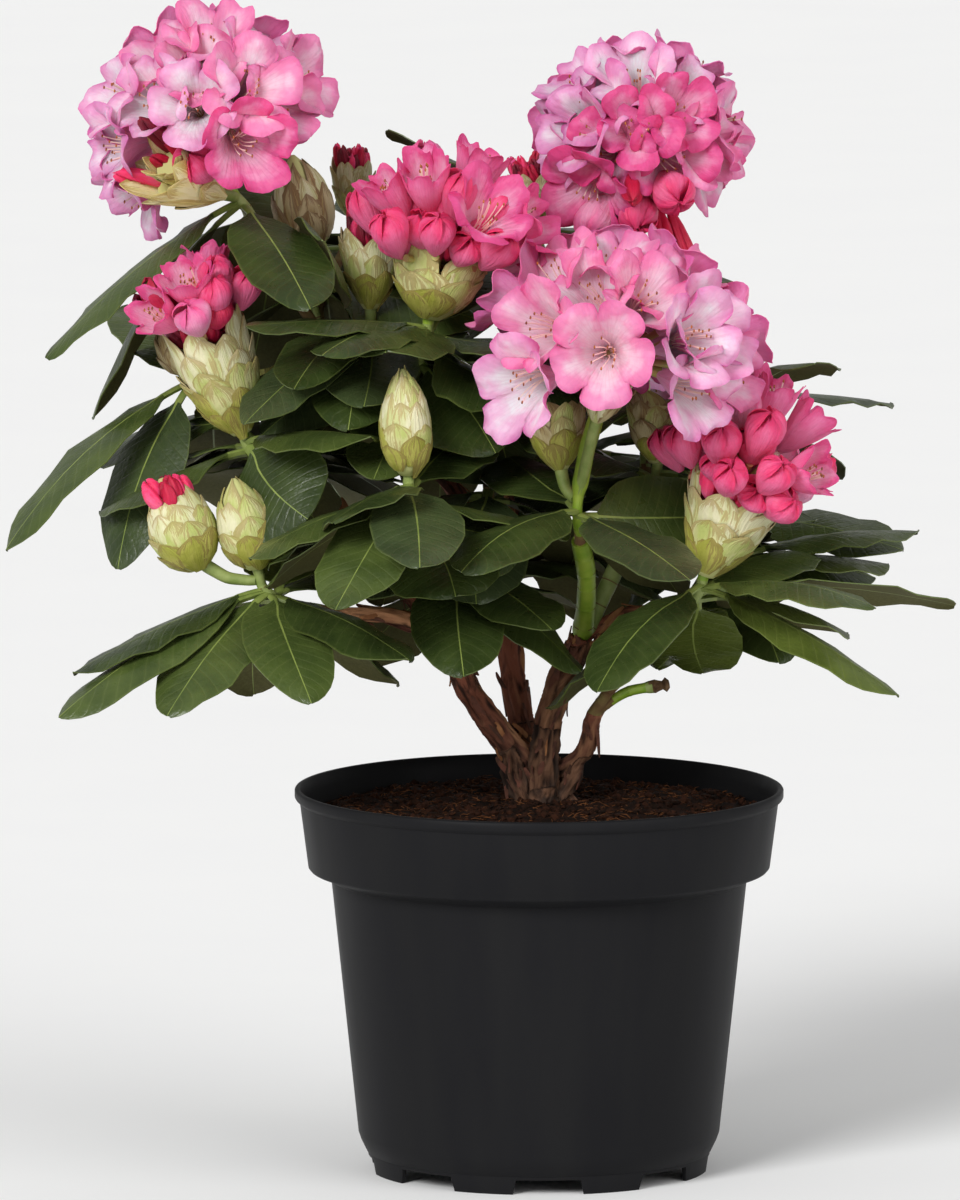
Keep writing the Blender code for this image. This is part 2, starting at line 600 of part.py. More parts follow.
def fill_leaves(name, hand_leaves, seed):
    """Leaves at the golden angle, where the leaves set by hand leave room."""
    leaves = list(hand_leaves)
    roll = random.Random(seed)
    all_round = name in INNER_SHOOTS or not hand_leaves
    bearing = roll.uniform(0, 360)
    for _ in range(FILL_TRIES):
        bearing = (bearing + GOLDEN_TURN) % 360
        fall = roll.uniform(*FILL_FALL)
        length = roll.uniform(*FILL_LENGTH)
        to_the_back = BACK_BEARINGS[0] < bearing < BACK_BEARINGS[1]
        if len(leaves) >= WHORL_COUNT or not (all_round or to_the_back):
            continue
        gaps = [abs((bearing - other[0] + 180) % 360 - 180) for other in leaves]
        if min(gaps, default=360) > FILL_APART:
            tilt = roll.uniform(-FILL_ROLL, FILL_ROLL)
            leaves.append((round(bearing), round(fall), round(length), round(tilt)))
    return leaves[len(hand_leaves):]


def stem_places(name, start):
    _, node, lean, _ = SHOOTS[name]
    place, way, _ = start
    lean = Vector(lean).normalized()
    return grown(place + way * TOUCH_GAP, way, point(node), lean, STEM_POINTS, STEM_STRAIGHT)


def back_along(places, distance):
    """The place at a distance back from the end of a path."""
    for end, start in zip(places[::-1], places[-2::-1]):
        length = (end - start).length
        if distance <= length:
            return end.lerp(start, distance / length)
        distance -= length
    return places[0]


def whorl(name, seed, places):
    """Root and pose of every leaf of a shoot: those set by hand at its tip, the fill down its stem."""
    hand_leaves = SHOOTS[name][3]
    side_bud = any(spec[0] == name and spec[1] for spec in BUDS.values())
    down = ROOT_START_BELOW_SIDE_BUD if side_bud else ROOT_START
    by_hand = []
    for bearing, fall, length, *roll in hand_leaves:
        by_hand.append((back_along(places, down), bearing, fall, length * MM, *roll))
        down += ROOT_STEP
    fill = []
    leaves = fill_leaves(name, hand_leaves, seed)
    stem_length = sum((end - start).length for start, end in zip(places, places[1:]))
    step = max(ROOT_STEP, (stem_length * FILL_STEM_SHARE - down) / max(len(leaves), 1))
    for bearing, fall, length, roll in leaves:
        fill.append((back_along(places, down), bearing, fall, length * MM, roll))
        down += step
    return by_hand, fill


def make_stem(name, places):
    return tube(name, places, tapered(STEM_RADIUS, STEM_TIP_RADIUS, len(places)), STEM_SIDES_LEVEL)


def clear_pose(pose, obstacles, blades):
    """The first small turn of a leaf that touches nothing, or none."""
    root, bearing, fall, *rest = pose
    for turn, dip in NUDGES:
        tried = (root, bearing + turn, fall + dip, *rest)
        rings, tip = leaf_rings(*tried, room=LEAF_ROOM)
        if any(ring_tree(rings, tip).overlap(tree) for tree in obstacles):
            continue
        if any(ring_tree(rings[1:], tip).overlap(tree) for tree in blades):
            continue
        return tried
    return None


def make_shoots(starts, pieces, surface):
    """Stems first, then the leaves set by hand, then the fill, each clear of all that stands."""
    paths = {name: stem_places(name, starts[name]) for name in SHOOTS}
    stems = {name: make_stem(name, paths[name]) for name in SHOOTS}
    stem_trees = {name: mesh_tree(stem) for name, stem in stems.items()}
    piece_trees = [mesh_tree(piece) for piece in pieces]
    leaves = {name: [] for name in SHOOTS}
    leaf_trees = {name: [] for name in SHOOTS}
    blade_trees = {name: [] for name in SHOOTS}
    whorls = {name: whorl(name, seed, paths[name]) for seed, name in enumerate(SHOOTS)}
    for turn in range(2):
        for name in SHOOTS:
            obstacles = piece_trees + [tree for other, tree in stem_trees.items() if other != name]
            obstacles += [tree for other, trees in leaf_trees.items() if other != name for tree in trees]
            for pose in whorls[name][turn]:
                placed = clear_pose(pose, obstacles, blade_trees[name])
                if placed is None:
                    continue
                rings, tip = leaf_rings(*placed)
                leaves[name].append(lofted("leaf", rings, tip))
                leaf_trees[name].append(ring_tree(rings, tip))
                blade_trees[name].append(ring_tree(rings[1:], tip))
    return [surfaced(joined(stems[name], leaves[name]), surface) for name in SHOOTS]


def flower_ways(axis, count, spread, first_turn, lift):
    """Directions spread evenly over a cap about an axis by the golden angle, each as steep."""
    frame = axis.to_track_quat("Z", "Y")
    ways = []
    for number in range(count):
        level = 1 - (1 - math.cos(math.radians(spread))) * (number + 0.5) / count
        slope = math.acos(level) + math.radians(lift)
        turn = math.radians(first_turn + GOLDEN_TURN * number)
        ways.append((frame, Vector((math.sin(slope) * math.cos(turn), math.sin(slope) * math.sin(turn),
                                    math.cos(slope)))))
    return ways


def flower_rows(middle, frame, way, reach_up, reach_out, radius, shut, room=0.0):
    """Three rows of points of one flower from its stalk to its rim, then its throat or tip."""
    reach = reach_up * max(way.z, 0) ** 2 + reach_out * (1 - max(way.z, 0) ** 2) + room
    way = frame @ way
    flower_frame = way.to_track_quat("Z", "Y")
    rows = []
    for width, share in ((PEDICEL_RADIUS, 0), (TUBE_RADIUS, TUBE_START), (radius, SHUT_WIDEST if shut else 1)):
        for number in range(PETAL_COUNT):
            turn = number * math.tau / PETAL_COUNT
            flat = Vector((math.cos(turn), math.sin(turn), 0)) * (width + room)
            rows.append(middle + flower_frame @ flat + way * reach * share)
    rows.append(middle + way * reach * (1 if shut else 1 - DISH_DEPTH))
    return rows


def flower_faces():
    """Corner numbers of a flower's faces, counted row by row with the last point at the end."""
    faces = [tuple(reversed(range(PETAL_COUNT)))]
    for number in range(PETAL_COUNT):
        after = (number + 1) % PETAL_COUNT
        for row in (0, PETAL_COUNT):
            faces.append((row + number, row + after, row + PETAL_COUNT + after, row + PETAL_COUNT + number))
        faces.append((2 * PETAL_COUNT + number, 2 * PETAL_COUNT + after, 3 * PETAL_COUNT))
    return faces


def make_flower(corners):
    bm = bmesh.new()
    verts = [bm.verts.new(place) for place in corners]
    for face in flower_faces():
        bm.faces.new([verts[corner] for corner in face])
    return finished("flower", bm)


def scaly_body(name, base, way, length, radius, outline):
    profile = [(0, 0)] + [(share_out * radius, share_up * length) for share_up, share_out in outline]
    profile.append((0, length * BODY_TIP))
    return turned(name, profile, BUD_STEPS, frame_at(base, way))


def shoot_tip(shoot, side):
    """Where a head stands: just past the shoot's tip, or just off its side."""
    _, node, lean, _ = SHOOTS[shoot]
    node = point(node)
    lean = Vector(lean).normalized()
    if side is None:
        return node + lean * TOUCH_GAP, lean
    side = Vector(side)
    side = (side - lean * side.dot(lean)).normalized()
    return node - lean * SIDE_BUD_START + side * (STEM_RADIUS + TOUCH_GAP), side


def stalk_to(name, start, start_way, end, end_way, radius=STALK_RADIUS):
    """A short stalk whose flat foot faces the shoot."""
    places = grown(start, start_way, end, end_way, STEM_POINTS + 1)
    radii = [STEM_TIP_RADIUS, STEM_TIP_RADIUS] + [radius] * (len(places) - 2)
    return tube(name, places, radii, STEM_SIDES_LEVEL)


def make_head(name, spec, shut, obstacles, surface):
    shoot, way, stalk, length, radius, focus, up, out, count, spread, first_turn, size = spec
    start, start_way = shoot_tip(shoot, None)
    way = Vector(way).normalized()
    base = start + way * stalk * MM
    middle = start + way * focus * MM
    body = scaly_body("scales", base, way, length * MM, radius * MM, CUP_OUTLINE if shut else BUD_OUTLINE)
    head = stalk_to(name, start, start_way, middle, way,
                    STALK_RADIUS * (LONG_STALK_SCALE if stalk > LONG_STALK else 1))
    core = bmesh.new()
    bmesh.ops.create_icosphere(core, subdivisions=1, radius=CORE_RADIUS, matrix=Matrix.Translation(middle))
    pieces = [body, finished("core", core)]
    sizes = (up * MM, out * MM, size * MM)
    tries = [flower_ways(way, count, spread, first_turn, lift) for lift in FLOWER_NUDGES]
    for choices in zip(*tries):
        for frame, direction in choices:
            roomy = flower_rows(middle, frame, direction, *sizes, shut, FLOWER_ROOM)
            if not any(surface_tree(roomy, flower_faces()).overlap(tree) for tree in obstacles):
                pieces.append(make_flower(flower_rows(middle, frame, direction, *sizes, shut)))
                break
    return surfaced(joined(head, pieces), surface)


def make_bud(name, surface):
    shoot, side, way, stalk, length, radius = BUDS[name]
    start, start_way = shoot_tip(shoot, side)
    way = Vector(way).normalized()
    base = start + (Vector(side).normalized() if side else way) * stalk * MM
    body = scaly_body("scales", base, way, length * MM, radius * MM, BUD_OUTLINE)
    head = stalk_to(name, start, start_way, base + way * BUD_SUNK * length * MM, way)
    return surfaced(joined(head, [body]), surface)


clear_scene()
plastic = material("black plastic", BLACK_PLASTIC, 0.42)
earth = material("potting soil", DARK_SOIL, 0.95)
bark = material("bark", BARK, 0.85)
green_bark = material("green stem", GREEN_BARK, 0.55)
leaf = material("leaf", LEAF_GREEN, 0.40)
pink = material("pink petals", PETAL_PINK, 0.60)
red = material("red petals", PETAL_RED, 0.55)
scales = material("bud scales", SCALE_GREEN, 0.65)

pieces = [make_pot(plastic), make_soil(earth), make_trunk(bark)]
limbs, open_starts = make_limbs(bark, green_bark)
pieces += limbs
pieces += [make_bud(name, scales) for name in BUDS]
for name, spec in OPENING_HEADS.items():
    pieces.append(make_head(name, spec, True, [mesh_tree(piece) for piece in pieces], red))
for name, spec in HEADS.items():
    pieces.append(make_head(name, spec, False, [mesh_tree(piece) for piece in pieces], pink))
pieces += make_shoots(open_starts, pieces, leaf)
for piece in pieces:
    piece.data.shade_smooth()
    piece.data.set_sharp_from_angle(angle=SHARP_ANGLE)
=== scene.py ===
import math
import random

import bpy
import numpy as np
from mathutils import Matrix, Vector, noise
from mathutils.bvhtree import BVHTree
from mathutils.kdtree import KDTree


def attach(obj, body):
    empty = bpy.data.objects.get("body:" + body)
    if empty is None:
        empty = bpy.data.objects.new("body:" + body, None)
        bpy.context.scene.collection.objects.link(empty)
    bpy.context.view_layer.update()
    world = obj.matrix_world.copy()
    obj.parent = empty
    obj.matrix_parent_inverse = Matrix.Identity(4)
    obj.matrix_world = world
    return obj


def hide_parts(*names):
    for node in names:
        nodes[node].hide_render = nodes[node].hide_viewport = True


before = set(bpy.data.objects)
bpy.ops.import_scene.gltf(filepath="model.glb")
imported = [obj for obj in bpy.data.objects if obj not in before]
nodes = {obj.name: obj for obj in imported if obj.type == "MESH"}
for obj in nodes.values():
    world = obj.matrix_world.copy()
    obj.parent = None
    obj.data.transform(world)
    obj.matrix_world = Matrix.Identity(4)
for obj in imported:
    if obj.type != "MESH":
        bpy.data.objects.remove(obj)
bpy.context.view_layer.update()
mm = 0.001
goldenTurn = 137.5
print("frame loaded:", len(nodes), "nodes")


# Tools

def linear(hexColour):
    channels = [int(hexColour[at:at + 2], 16) / 255 for at in (1, 3, 5)]
    return (*[c / 12.92 if c <= 0.04045 else ((c + 0.055) / 1.055) ** 2.4 for c in channels], 1.0)


def addNode(tree, kind, settings=None, links=None):  # settings name properties or sockets
    node = tree.nodes.new(kind)
    for key, value in (settings or {}).items():
        if isinstance(key, str) and hasattr(node, key):
            setattr(node, key, value)
        else:
            node.inputs[key].default_value = value
    for key, source in (links or {}).items():
        tree.links.new(source, node.inputs[key])
    return node


def newMaterial(name, hexColour, sockets):
    material = bpy.data.materials.new(name)
    material.use_nodes = True
    tree = material.node_tree
    shader = tree.nodes["Principled BSDF"]
    shader.inputs["Base Color"].default_value = linear(hexColour)
    material.diffuse_color = linear(hexColour)
    for key, value in sockets.items():
        shader.inputs[key].default_value = value
    return material, tree, shader


def mixColour(tree, factor, first, second):  # first and second are hex colours or sockets
    node = addNode(tree, "ShaderNodeMix", {"data_type": "RGBA"})
    for slot, value in ((0, factor), (6, first), (7, second)):
        if isinstance(value, str):
            node.inputs[slot].default_value = linear(value)
        elif isinstance(value, (int, float)):
            node.inputs[slot].default_value = value
        else:
            tree.links.new(value, node.inputs[slot])
    return node.outputs[2]


def ramp(tree, source, stops):  # stops are (place, grey level) or (place, hex colour)
    node = addNode(tree, "ShaderNodeValToRGB", links={0: source})
    elements = node.color_ramp.elements
    while len(elements) < len(stops):
        elements.new(0.5)
    for element, (place, value) in zip(elements, stops):
        element.position = place
        element.color = linear(value) if isinstance(value, str) else (value, value, value, 1)
    return node.outputs[0]


def deselectAll():
    if bpy.context.mode != "OBJECT":
        bpy.ops.object.mode_set(mode="OBJECT")
    bpy.ops.object.select_all(action="DESELECT")


def pick(thing):
    deselectAll()
    thing.select_set(True)
    bpy.context.view_layer.objects.active = thing


def editWhere(thing, kind, test):  # goes into edit mode with what passes the test selected
    pick(thing)
    bpy.ops.object.mode_set(mode="EDIT")
    bpy.ops.mesh.select_mode(type=kind)
    bpy.ops.mesh.select_all(action="DESELECT")
    bpy.ops.object.mode_set(mode="OBJECT")
    mesh = thing.data
    parts = {"VERT": mesh.vertices, "EDGE": mesh.edges, "FACE": mesh.polygons}[kind]
    for part in parts:
        part.select = test(part)
    bpy.ops.object.mode_set(mode="EDIT")


def applyModifier(thing, kind, settings):
    pick(thing)
    modifier = thing.modifiers.new(kind.lower(), kind)
    for key, value in settings.items():
        setattr(modifier, key, value)
    bpy.ops.object.modifier_apply(modifier=modifier.name)


def smoothed(thing, degrees=60):
    pick(thing)
    bpy.ops.object.shade_smooth_by_angle(angle=math.radians(degrees))
    return thing


def outward(thing):
    editWhere(thing, "VERT", lambda vert: True)
    bpy.ops.mesh.remove_doubles(threshold=1e-6)
    bpy.ops.mesh.normals_make_consistent(inside=False)
    deselectAll()


def settle(piece, slot, *replaced):  # rides on the plant, stands for its nodes
    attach(piece, "root")
    if replaced:
        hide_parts(*replaced)
    return piece


def keepValues(mesh, values):  # a number or three for each of a mesh's points, for its material
    for key, value in values.items():
        value = np.asarray(value, dtype=np.float32)
        kind, field = ("FLOAT", "value") if value.ndim == 1 else ("FLOAT_VECTOR", "vector")
        mesh.attributes.new(key, kind, "POINT").data.foreach_set(field, value.ravel())


def meshOf(name, places, faces, materials, slots=None, values=None, edges=()):
    mesh = bpy.data.meshes.new(name)
    mesh.from_pydata(np.asarray(places).tolist(), edges, faces)
    thing = bpy.data.objects.new(name, mesh)
    bpy.context.scene.collection.objects.link(thing)
    for material in materials:
        mesh.materials.append(material)
    if slots is not None:
        mesh.polygons.foreach_set("material_index", np.asarray(slots, dtype=np.int32))
    keepValues(mesh, values or {})
    return thing


def shapeOf(thing):  # the points and faces of a modelled shape, for copying
    mesh = thing.data
    shape = {"places": np.array([vert.co for vert in mesh.vertices]),
             "faces": [tuple(face.vertices) for face in mesh.polygons],
             "slots": [face.material_index for face in mesh.polygons]}
    bpy.data.objects.remove(thing)
    return shape


def facing(shape, way):  # the same shape with its faces turned up for 1, or down for -1
    rises = 0.0
    for face in shape["faces"]:
        first, second, third = (shape["places"][corner] for corner in face[:3])
        rises += np.cross(second - first, third - second)[2]
    if rises * way < 0:
        shape["faces"] = [face[::-1] for face in shape["faces"]]
    return shape


def spotValues(shape, roll):  # for the materials: place across and along, and a number for the whole copy
    copy = np.full(len(shape["across"]), roll.random())
    return np.stack([shape["across"], shape["along"], copy], 1)


class Copies:  # many copies of one shape, each bent to its own place, joined into one mesh
    def __init__(self):
        self.places, self.faces, self.slots, self.values = [], [], [], {}
        self.count = 0

    def add(self, shape, places, slotShift=0, slotMap=None, **values):
        self.faces += [tuple(corner + self.count for corner in face) for face in shape["faces"]]
        slots = shape["slots"] if slotMap is None else [slotMap[slot] for slot in shape["slots"]]
        self.slots += [slot + slotShift for slot in slots]
        self.places.append(places)
        self.count += len(places)
        for key, value in values.items():
            self.values.setdefault(key, []).append(value)

    def make(self, name, materials):
        values = {key: np.concatenate(value) for key, value in self.values.items()}
        return meshOf(name, np.concatenate(self.places), self.faces, materials, self.slots, values)


def modelBlade(name, outline, strips):
    deselectAll()
    bpy.ops.mesh.primitive_grid_add(x_subdivisions=len(strips) - 1, y_subdivisions=1, size=2)
    thing = bpy.context.object
    for vert in thing.data.vertices:
        column = round((vert.co.x + 1) / 2 * (len(strips) - 1))
        row = int(vert.co.y > 0)
        vert.co = (strips[column] * outline[row][1], outline[row][0], 0)
    editWhere(thing, "VERT", lambda vert: vert.co.y > outline[1][0] - 1e-4)
    for (near, nearWidth), (far, farWidth) in zip(outline[1:], outline[2:]):
        bpy.ops.mesh.extrude_region_move(TRANSFORM_OT_translate={"value": (0, far - near, 0)})
        bpy.ops.transform.resize(value=(farWidth / nearWidth, 1, 1), center_override=(0, far, 0))
    bpy.ops.object.mode_set(mode="OBJECT")
    thing.name = name
    return thing


def bladeShape(name, outline, strips, way, ribTo=0.0):  # the blade with its place across and along kept
    thing = modelBlade(name, outline, strips)
    for face in thing.data.polygons:
        face.material_index = int(face.center.y < ribTo or (ribTo > 0 and abs(face.center.x) < 0.03))
    shape = facing(shapeOf(thing), way)
    shape["along"] = shape["places"][:, 1]
    shape["width"] = np.interp(shape["along"], *zip(*outline))
    shape["across"] = shape["places"][:, 0] / shape["width"]
    return shape


def thicken(thing, thickness, deal, materials, **settings):  # deal: the finish of each front, then each back
    while len(thing.data.materials) < len(deal):
        thing.data.materials.append(materials[0])
    applyModifier(thing, "SOLIDIFY", {"thickness": thickness, "offset": 0.0, "use_rim": True,
                                      "material_offset": len(deal) // 2, **settings})
    slots = np.zeros(len(thing.data.polygons), np.int32)
    thing.data.polygons.foreach_get("material_index", slots)
    thing.data.materials.clear()
    for material in materials:
        thing.data.materials.append(material)
    thing.data.polygons.foreach_set("material_index", np.array(deal, np.int32)[slots])


def tubesOf(name, lines, sides, materials=()):  # lines are (points, radii); sides above four come in pairs
    curve = bpy.data.curves.new(name, "CURVE")
    curve.dimensions = "3D"
    curve.bevel_depth = 1.0
    curve.bevel_resolution = (sides - 4) // 2
    curve.use_fill_caps = True
    for points, radii in lines:
        spline = curve.splines.new("POLY")
        spline.points.add(len(points) - 1)
        for knot, place, radius in zip(spline.points, points, radii):
            knot.co = (*place, 1)
            knot.radius = radius
    thing = bpy.data.objects.new(name, curve)
    bpy.context.scene.collection.objects.link(thing)
    pick(thing)
    bpy.ops.object.convert(target="MESH")
    thing = bpy.context.object
    for material in materials:
        thing.data.materials.append(material)
    outward(thing)
    return thing


def ease(value, start, end):
    share = np.clip((value - start) / (end - start), 0, 1)
    return share * share * (3 - 2 * share)


def finePath(points, step, rounds=6):  # the same path in short even steps, with its corners eased
    points = [np.array(place) for place in points]
    lengths = [0.0]
    for near, far in zip(points, points[1:]):
        lengths.append(lengths[-1] + float(np.linalg.norm(far - near)))
    count = max(4, int(lengths[-1] / step))
    marks = np.linspace(0, lengths[-1], count + 1)
    fine = np.stack([np.interp(marks, lengths, [place[axis] for place in points]) for axis in range(3)], 1)
    for _ in range(rounds):
        fine[1:-1] = (fine[:-2] + fine[1:-1] * 2 + fine[2:]) / 4
    return fine


# How the shrub grows: the same rule and sizes as the frame's, in millimetres

def point(values):
    return Vector(values) * mm


growth = {"touchGap": 0.3 * mm, "soilHeight": 175 * mm, "straight": 1.6 * mm, "limbPoints": 5,
          "stemPoints": 3, "gnarl": 1.5 * mm, "usualLength": 70 * mm, "forkBlend": 0.45, "forkSunk": 0.6,
          "forkReach": 1.6, "forkRoom": 1.12, "forkLongest": 20 * mm, "whorlCount": 10,
          "backBearings": (18, 162), "fillTries": 30, "fillFall": (4, 42), "fillLength": (76, 96),
          "fillApart": 20, "fillRoll": 18, "fillStemShare": 0.6, "stemRadius": 2.7 * mm,
          "stemTipRadius": 2.3 * mm, "stemStraight": 7 * mm, "rootStart": 2.0 * mm,
          "rootStartBelowSideBud": 7.5 * mm, "sideBudStart": 2.5 * mm, "rootStep": 1.3 * mm,
          "rootOut": 1.0 * mm}

trunkRings = ((0.3, 14.6), (3.5, 12.6), (9, 12.2), (15, 12.6), (21, 10.5), (25, 7.5))
trunkFoot, trunkCrown = (3, 6), (-1, 7)
trunkForks = {
    "bough_left": ((-3, 4, 188), (-0.66, -0.28, 0.76), 18),
    "bough_middle": ((-4, 12, 191), (-0.22, 0.32, 1.00), 21),
    "bough_right": ((2, 1, 193), (0.10, -0.24, 1.00), 19),
    "bough_low_right": ((8, 3, 186), (0.72, -0.30, 0.62), 14),
}
limbs = {  # parent, tip, radius at both ends
    "bough_left": ("trunk", (-48, -18, 257), 6.8, 5.4),
    "bough_middle": ("trunk", (-16, 30, 272), 6.4, 5.2),
    "bough_right": ("trunk", (20, -8, 253), 6.8, 6.0),
    "bough_low_right": ("trunk", (26, -10, 218), 4.6, 3.8),
    "limb_left_low": ("bough_left", (-96, -36, 268), 4.2, 3.2),
    "limb_left_high": ("bough_left", (-98, 4, 318), 4.2, 3.4),
    "limb_crown": ("bough_middle", (-58, 24, 346), 4.4, 3.8),
    "limb_crown_left": ("limb_crown", (-103, 22, 394), 3.4, 3.0),
    "limb_back": ("bough_middle", (-4, 68, 356), 4.2, 3.4),
    "limb_green_left": ("bough_right", (19, -47, 304), 4.6, 4.2),
    "limb_green_right": ("bough_right", (48, 4, 305), 4.2, 3.8),
    "limb_right": ("bough_right", (66, 10, 264), 3.0, 2.8),
    "limb_cut": ("bough_low_right", (61, -14, 232), 2.6, 2.3),
}
greenLimbs = ("limb_green_left", "limb_green_right", "limb_cut")
shoots = {  # parent, whorl, lean, leaves as bearing, fall, length and roll
    "leaves_low_left": ("limb_left_low", (-131, -45, 288), (-0.2, -0.1, 1.0), (
        (-166, 22, 98), (-155, 27, 118), (-124, 26, 95), (-80, 28, 88), (-44, 14, 92),
        (57, -6, 82), (80, -20, 85))),
    "leaves_mid_left": ("limb_left_high", (-138, -25, 350), (-0.3, -0.1, 0.9), (
        (-45, -6, 85), (-78, 19, 75), (114, 16, 82), (-143, 18, 95))),
    "leaves_far_left": ("limb_left_high", (-166, 15, 373), (-0.5, 0.0, 0.8), (
        (-150, 37, 122), (-112, 47, 98), (114, -22, 80))),
    "leaves_centre": ("bough_left", (-61, -80, 337), (0.0, -0.1, 1.0), (
        (-86, 20, 84), (-117, 4, 60, 50), (-122, 38, 80), (63, -15, 80), (101, 43, 88),
        (-165, 20, 80), (150, 26, 84), (20, 14, 82))),
    "leaves_inner_left": ("bough_left", (-38, -25, 291), (0.0, -0.2, 0.9), (
        (-88, 28, 88), (-55, 15, 78), (-130, 34, 80), (-25, 34, 76))),
    "leaves_inner_front": ("bough_middle", (-24, -12, 326), (-0.1, -0.4, 0.9), (
        (-95, 46, 80), (-50, 30, 70), (-160, 24, 76), (150, 30, 82), (30, 30, 80))),
    "leaves_top_left": ("limb_crown_left", (-142, 0, 460), (-0.6, -0.1, 0.6), (
        (-154, 31, 118), (158, 55, 128), (-68, 25, 95))),
    "leaves_upper_left": ("limb_crown_left", (-105, 25, 424), (-0.3, 0.0, 0.9), (
        (97, -50, 88), (-72, -28, 80, -60))),
    "leaves_upper_middle": ("limb_crown", (-52, -45, 406), (0.1, -0.1, 0.9), (
        (-156, -3, 92), (-127, -2, 80), (-108, 14, 72), (56, -26, 80), (-20, 8, 84))),
    "leaves_behind_middle": ("limb_crown", (-79, -5, 402), (0.0, 0.0, 1.0), (
        (-115, 14, 85), (-92, 20, 80), (-135, 24, 90), (175, 25, 86), (-66, 34, 80))),
    "leaves_back_top": ("limb_back", (0, 60, 440), (0.0, 0.1, 1.0), (
        (-148, -24, 86), (60, 10, 84))),
    "leaves_mid_right": ("limb_green_left", (18, -65, 328), (0.1, -0.1, 1.0), (
        (-138, 8, 86), (114, -12, 80), (-54, 14, 90), (57, 25, 84), (51, -1, 80, 70))),
    "leaves_low_right": ("bough_low_right", (76, -55, 287), (0.2, -0.2, 0.9), (
        (-128, 28, 90), (-27, 24, 112), (-29, 2, 92), (14, 5, 124, -20), (48, -9, 80),
        (106, 33, 80), (86, 36, 75), (33, 15, 90), (144, 30, 95))),
    "leaves_inner_right": ("limb_green_right", (55, -20, 335), (0.1, -0.3, 0.9), (
        (10, 18, 80), (45, 28, 80), (80, 20, 82), (-150, -10, 70))),
    "leaves_outer_right": ("limb_right", (97, 10, 293), (0.3, 0.1, 0.9), (
        (64, -8, 80), (44, -20, 85), (30, 6, 80))),
    "leaves_back_right": ("limb_green_right", (98, 40, 365), (0.3, 0.0, 0.9), (
        (-63, -17, 72), (36, 7, 86))),
    "leaves_top_right": ("limb_green_right", (46, 25, 427), (0.0, 0.0, 1.0), (
        (57, 17, 82), (120, 14, 84))),
    "leaves_inner_middle": ("bough_middle", (8, 14, 300), (0.1, -0.1, 0.9), (
        (73, 39, 80), (100, 21, 75), (18, 36, 78))),
    "leaves_back_middle": ("limb_back", (-50, 104, 380), (-0.3, 0.4, 0.8), ()),
    "leaves_back_left": ("limb_left_high", (-120, 84, 350), (-0.4, 0.5, 0.7), ()),
    "leaves_back_top_left": ("limb_crown_left", (-88, 72, 440), (0.1, 0.4, 0.9), (
        (74, -12, 76),)),
    "leaves_back_low_right": ("limb_right", (92, 84, 304), (0.4, 0.6, 0.7), ()),
    "leaves_back_low": ("limb_back", (26, 112, 332), (0.1, 0.5, 0.7), ()),
}
innerShoots = ("leaves_behind_middle", "leaves_inner_left", "leaves_inner_front", "leaves_inner_middle",
               "leaves_back_top_left")
# Shoot, direction, stalk, length and radius of the scaly body, middle of the flowers, their reach up and
# out, how many, how far they spread, first turn, radius of a flower
headKeys = ("shoot", "way", "stalk", "length", "radius", "focus", "up", "out", "count", "spread", "firstTurn",
            "size")
heads = {
    "flowers_top_left": ("leaves_top_left", (-0.32, -0.08, 0.95), 10, 20, 9, 36, 53, 58, 12, 102, 60, 26),
    "flowers_top_right": ("leaves_top_right", (0.03, -0.05, 1.0), 32, 16, 8, 56, 48, 50, 10, 106, 220, 26),
    "flowers_right": ("leaves_mid_right", (0.24, -0.13, 0.96), 44, 16, 8, 66, 56, 74, 12, 96, 80, 28),
    "flowers_back": ("leaves_back_low", (0.20, 0.10, 0.95), 14, 16, 8, 34, 42, 44, 8, 90, 0, 25),
}
openingHeads = {
    "flowers_middle": ("leaves_upper_middle", (0.20, -0.02, 1.0), 2, 36, 20, 26, 63, 52, 11, 64, 0, 12),
    "flowers_low_right": ("leaves_low_right", (0.34, -0.06, 0.9), 2, 44, 20, 44, 60, 46, 10, 76, 0, 12),
    "flowers_left": ("leaves_mid_left", (-0.34, -0.06, 0.94), 2, 56, 18, 46, 49, 38, 8, 50, 0, 11),
}
heads, openingHeads = ({name: dict(zip(headKeys, values)) for name, values in table.items()}
                       for table in (heads, openingHeads))
buds = {  # shoot, side, direction, stalk, length, radius
    "bud_low_left_red": ("leaves_low_left", (-1.0, 0.04, 0.22), (-0.39, 0.0, 0.92), 26, 46, 15.5),
    "bud_low_left": ("leaves_low_left", None, (-0.26, -0.10, 1.0), 3, 44, 13.5),
    "bud_centre": ("leaves_centre", None, (-0.05, -0.05, 1.0), 2, 50, 12),
    "bud_right": ("leaves_mid_right", (-0.38, 0.49, 0.78), (-0.10, 0.02, 1.0), 16, 37, 13),
    "bud_inner_right": ("leaves_inner_right", None, (0.03, -0.05, 1.0), 2, 38, 14),
    "bud_upper_left": ("leaves_upper_left", None, (-0.20, -0.12, 1.0), 9, 46, 14),
    "bud_behind_middle": ("leaves_behind_middle", None, (0.0, -0.05, 1.0), 6, 50, 13.5),
    "bud_back_top_left": ("leaves_back_top_left", None, (0.0, -0.1, 1.0), 2, 36, 9.5),
    "bud_far_left": ("leaves_far_left", None, (-0.35, -0.10, 0.9), 2, 28, 8),
    "bud_back_top": ("leaves_back_top", None, (-0.22, -0.1, 1.0), 2, 32, 10),
    "bud_back_middle": ("leaves_back_middle", None, (-0.1, 0.3, 0.9), 2, 42, 13),
    "bud_back_left": ("leaves_back_left", None, (-0.2, 0.3, 0.9), 2, 42, 13),
    "bud_back_low_right": ("leaves_back_low_right", None, (0.2, 0.3, 0.9), 2, 40, 13),
}
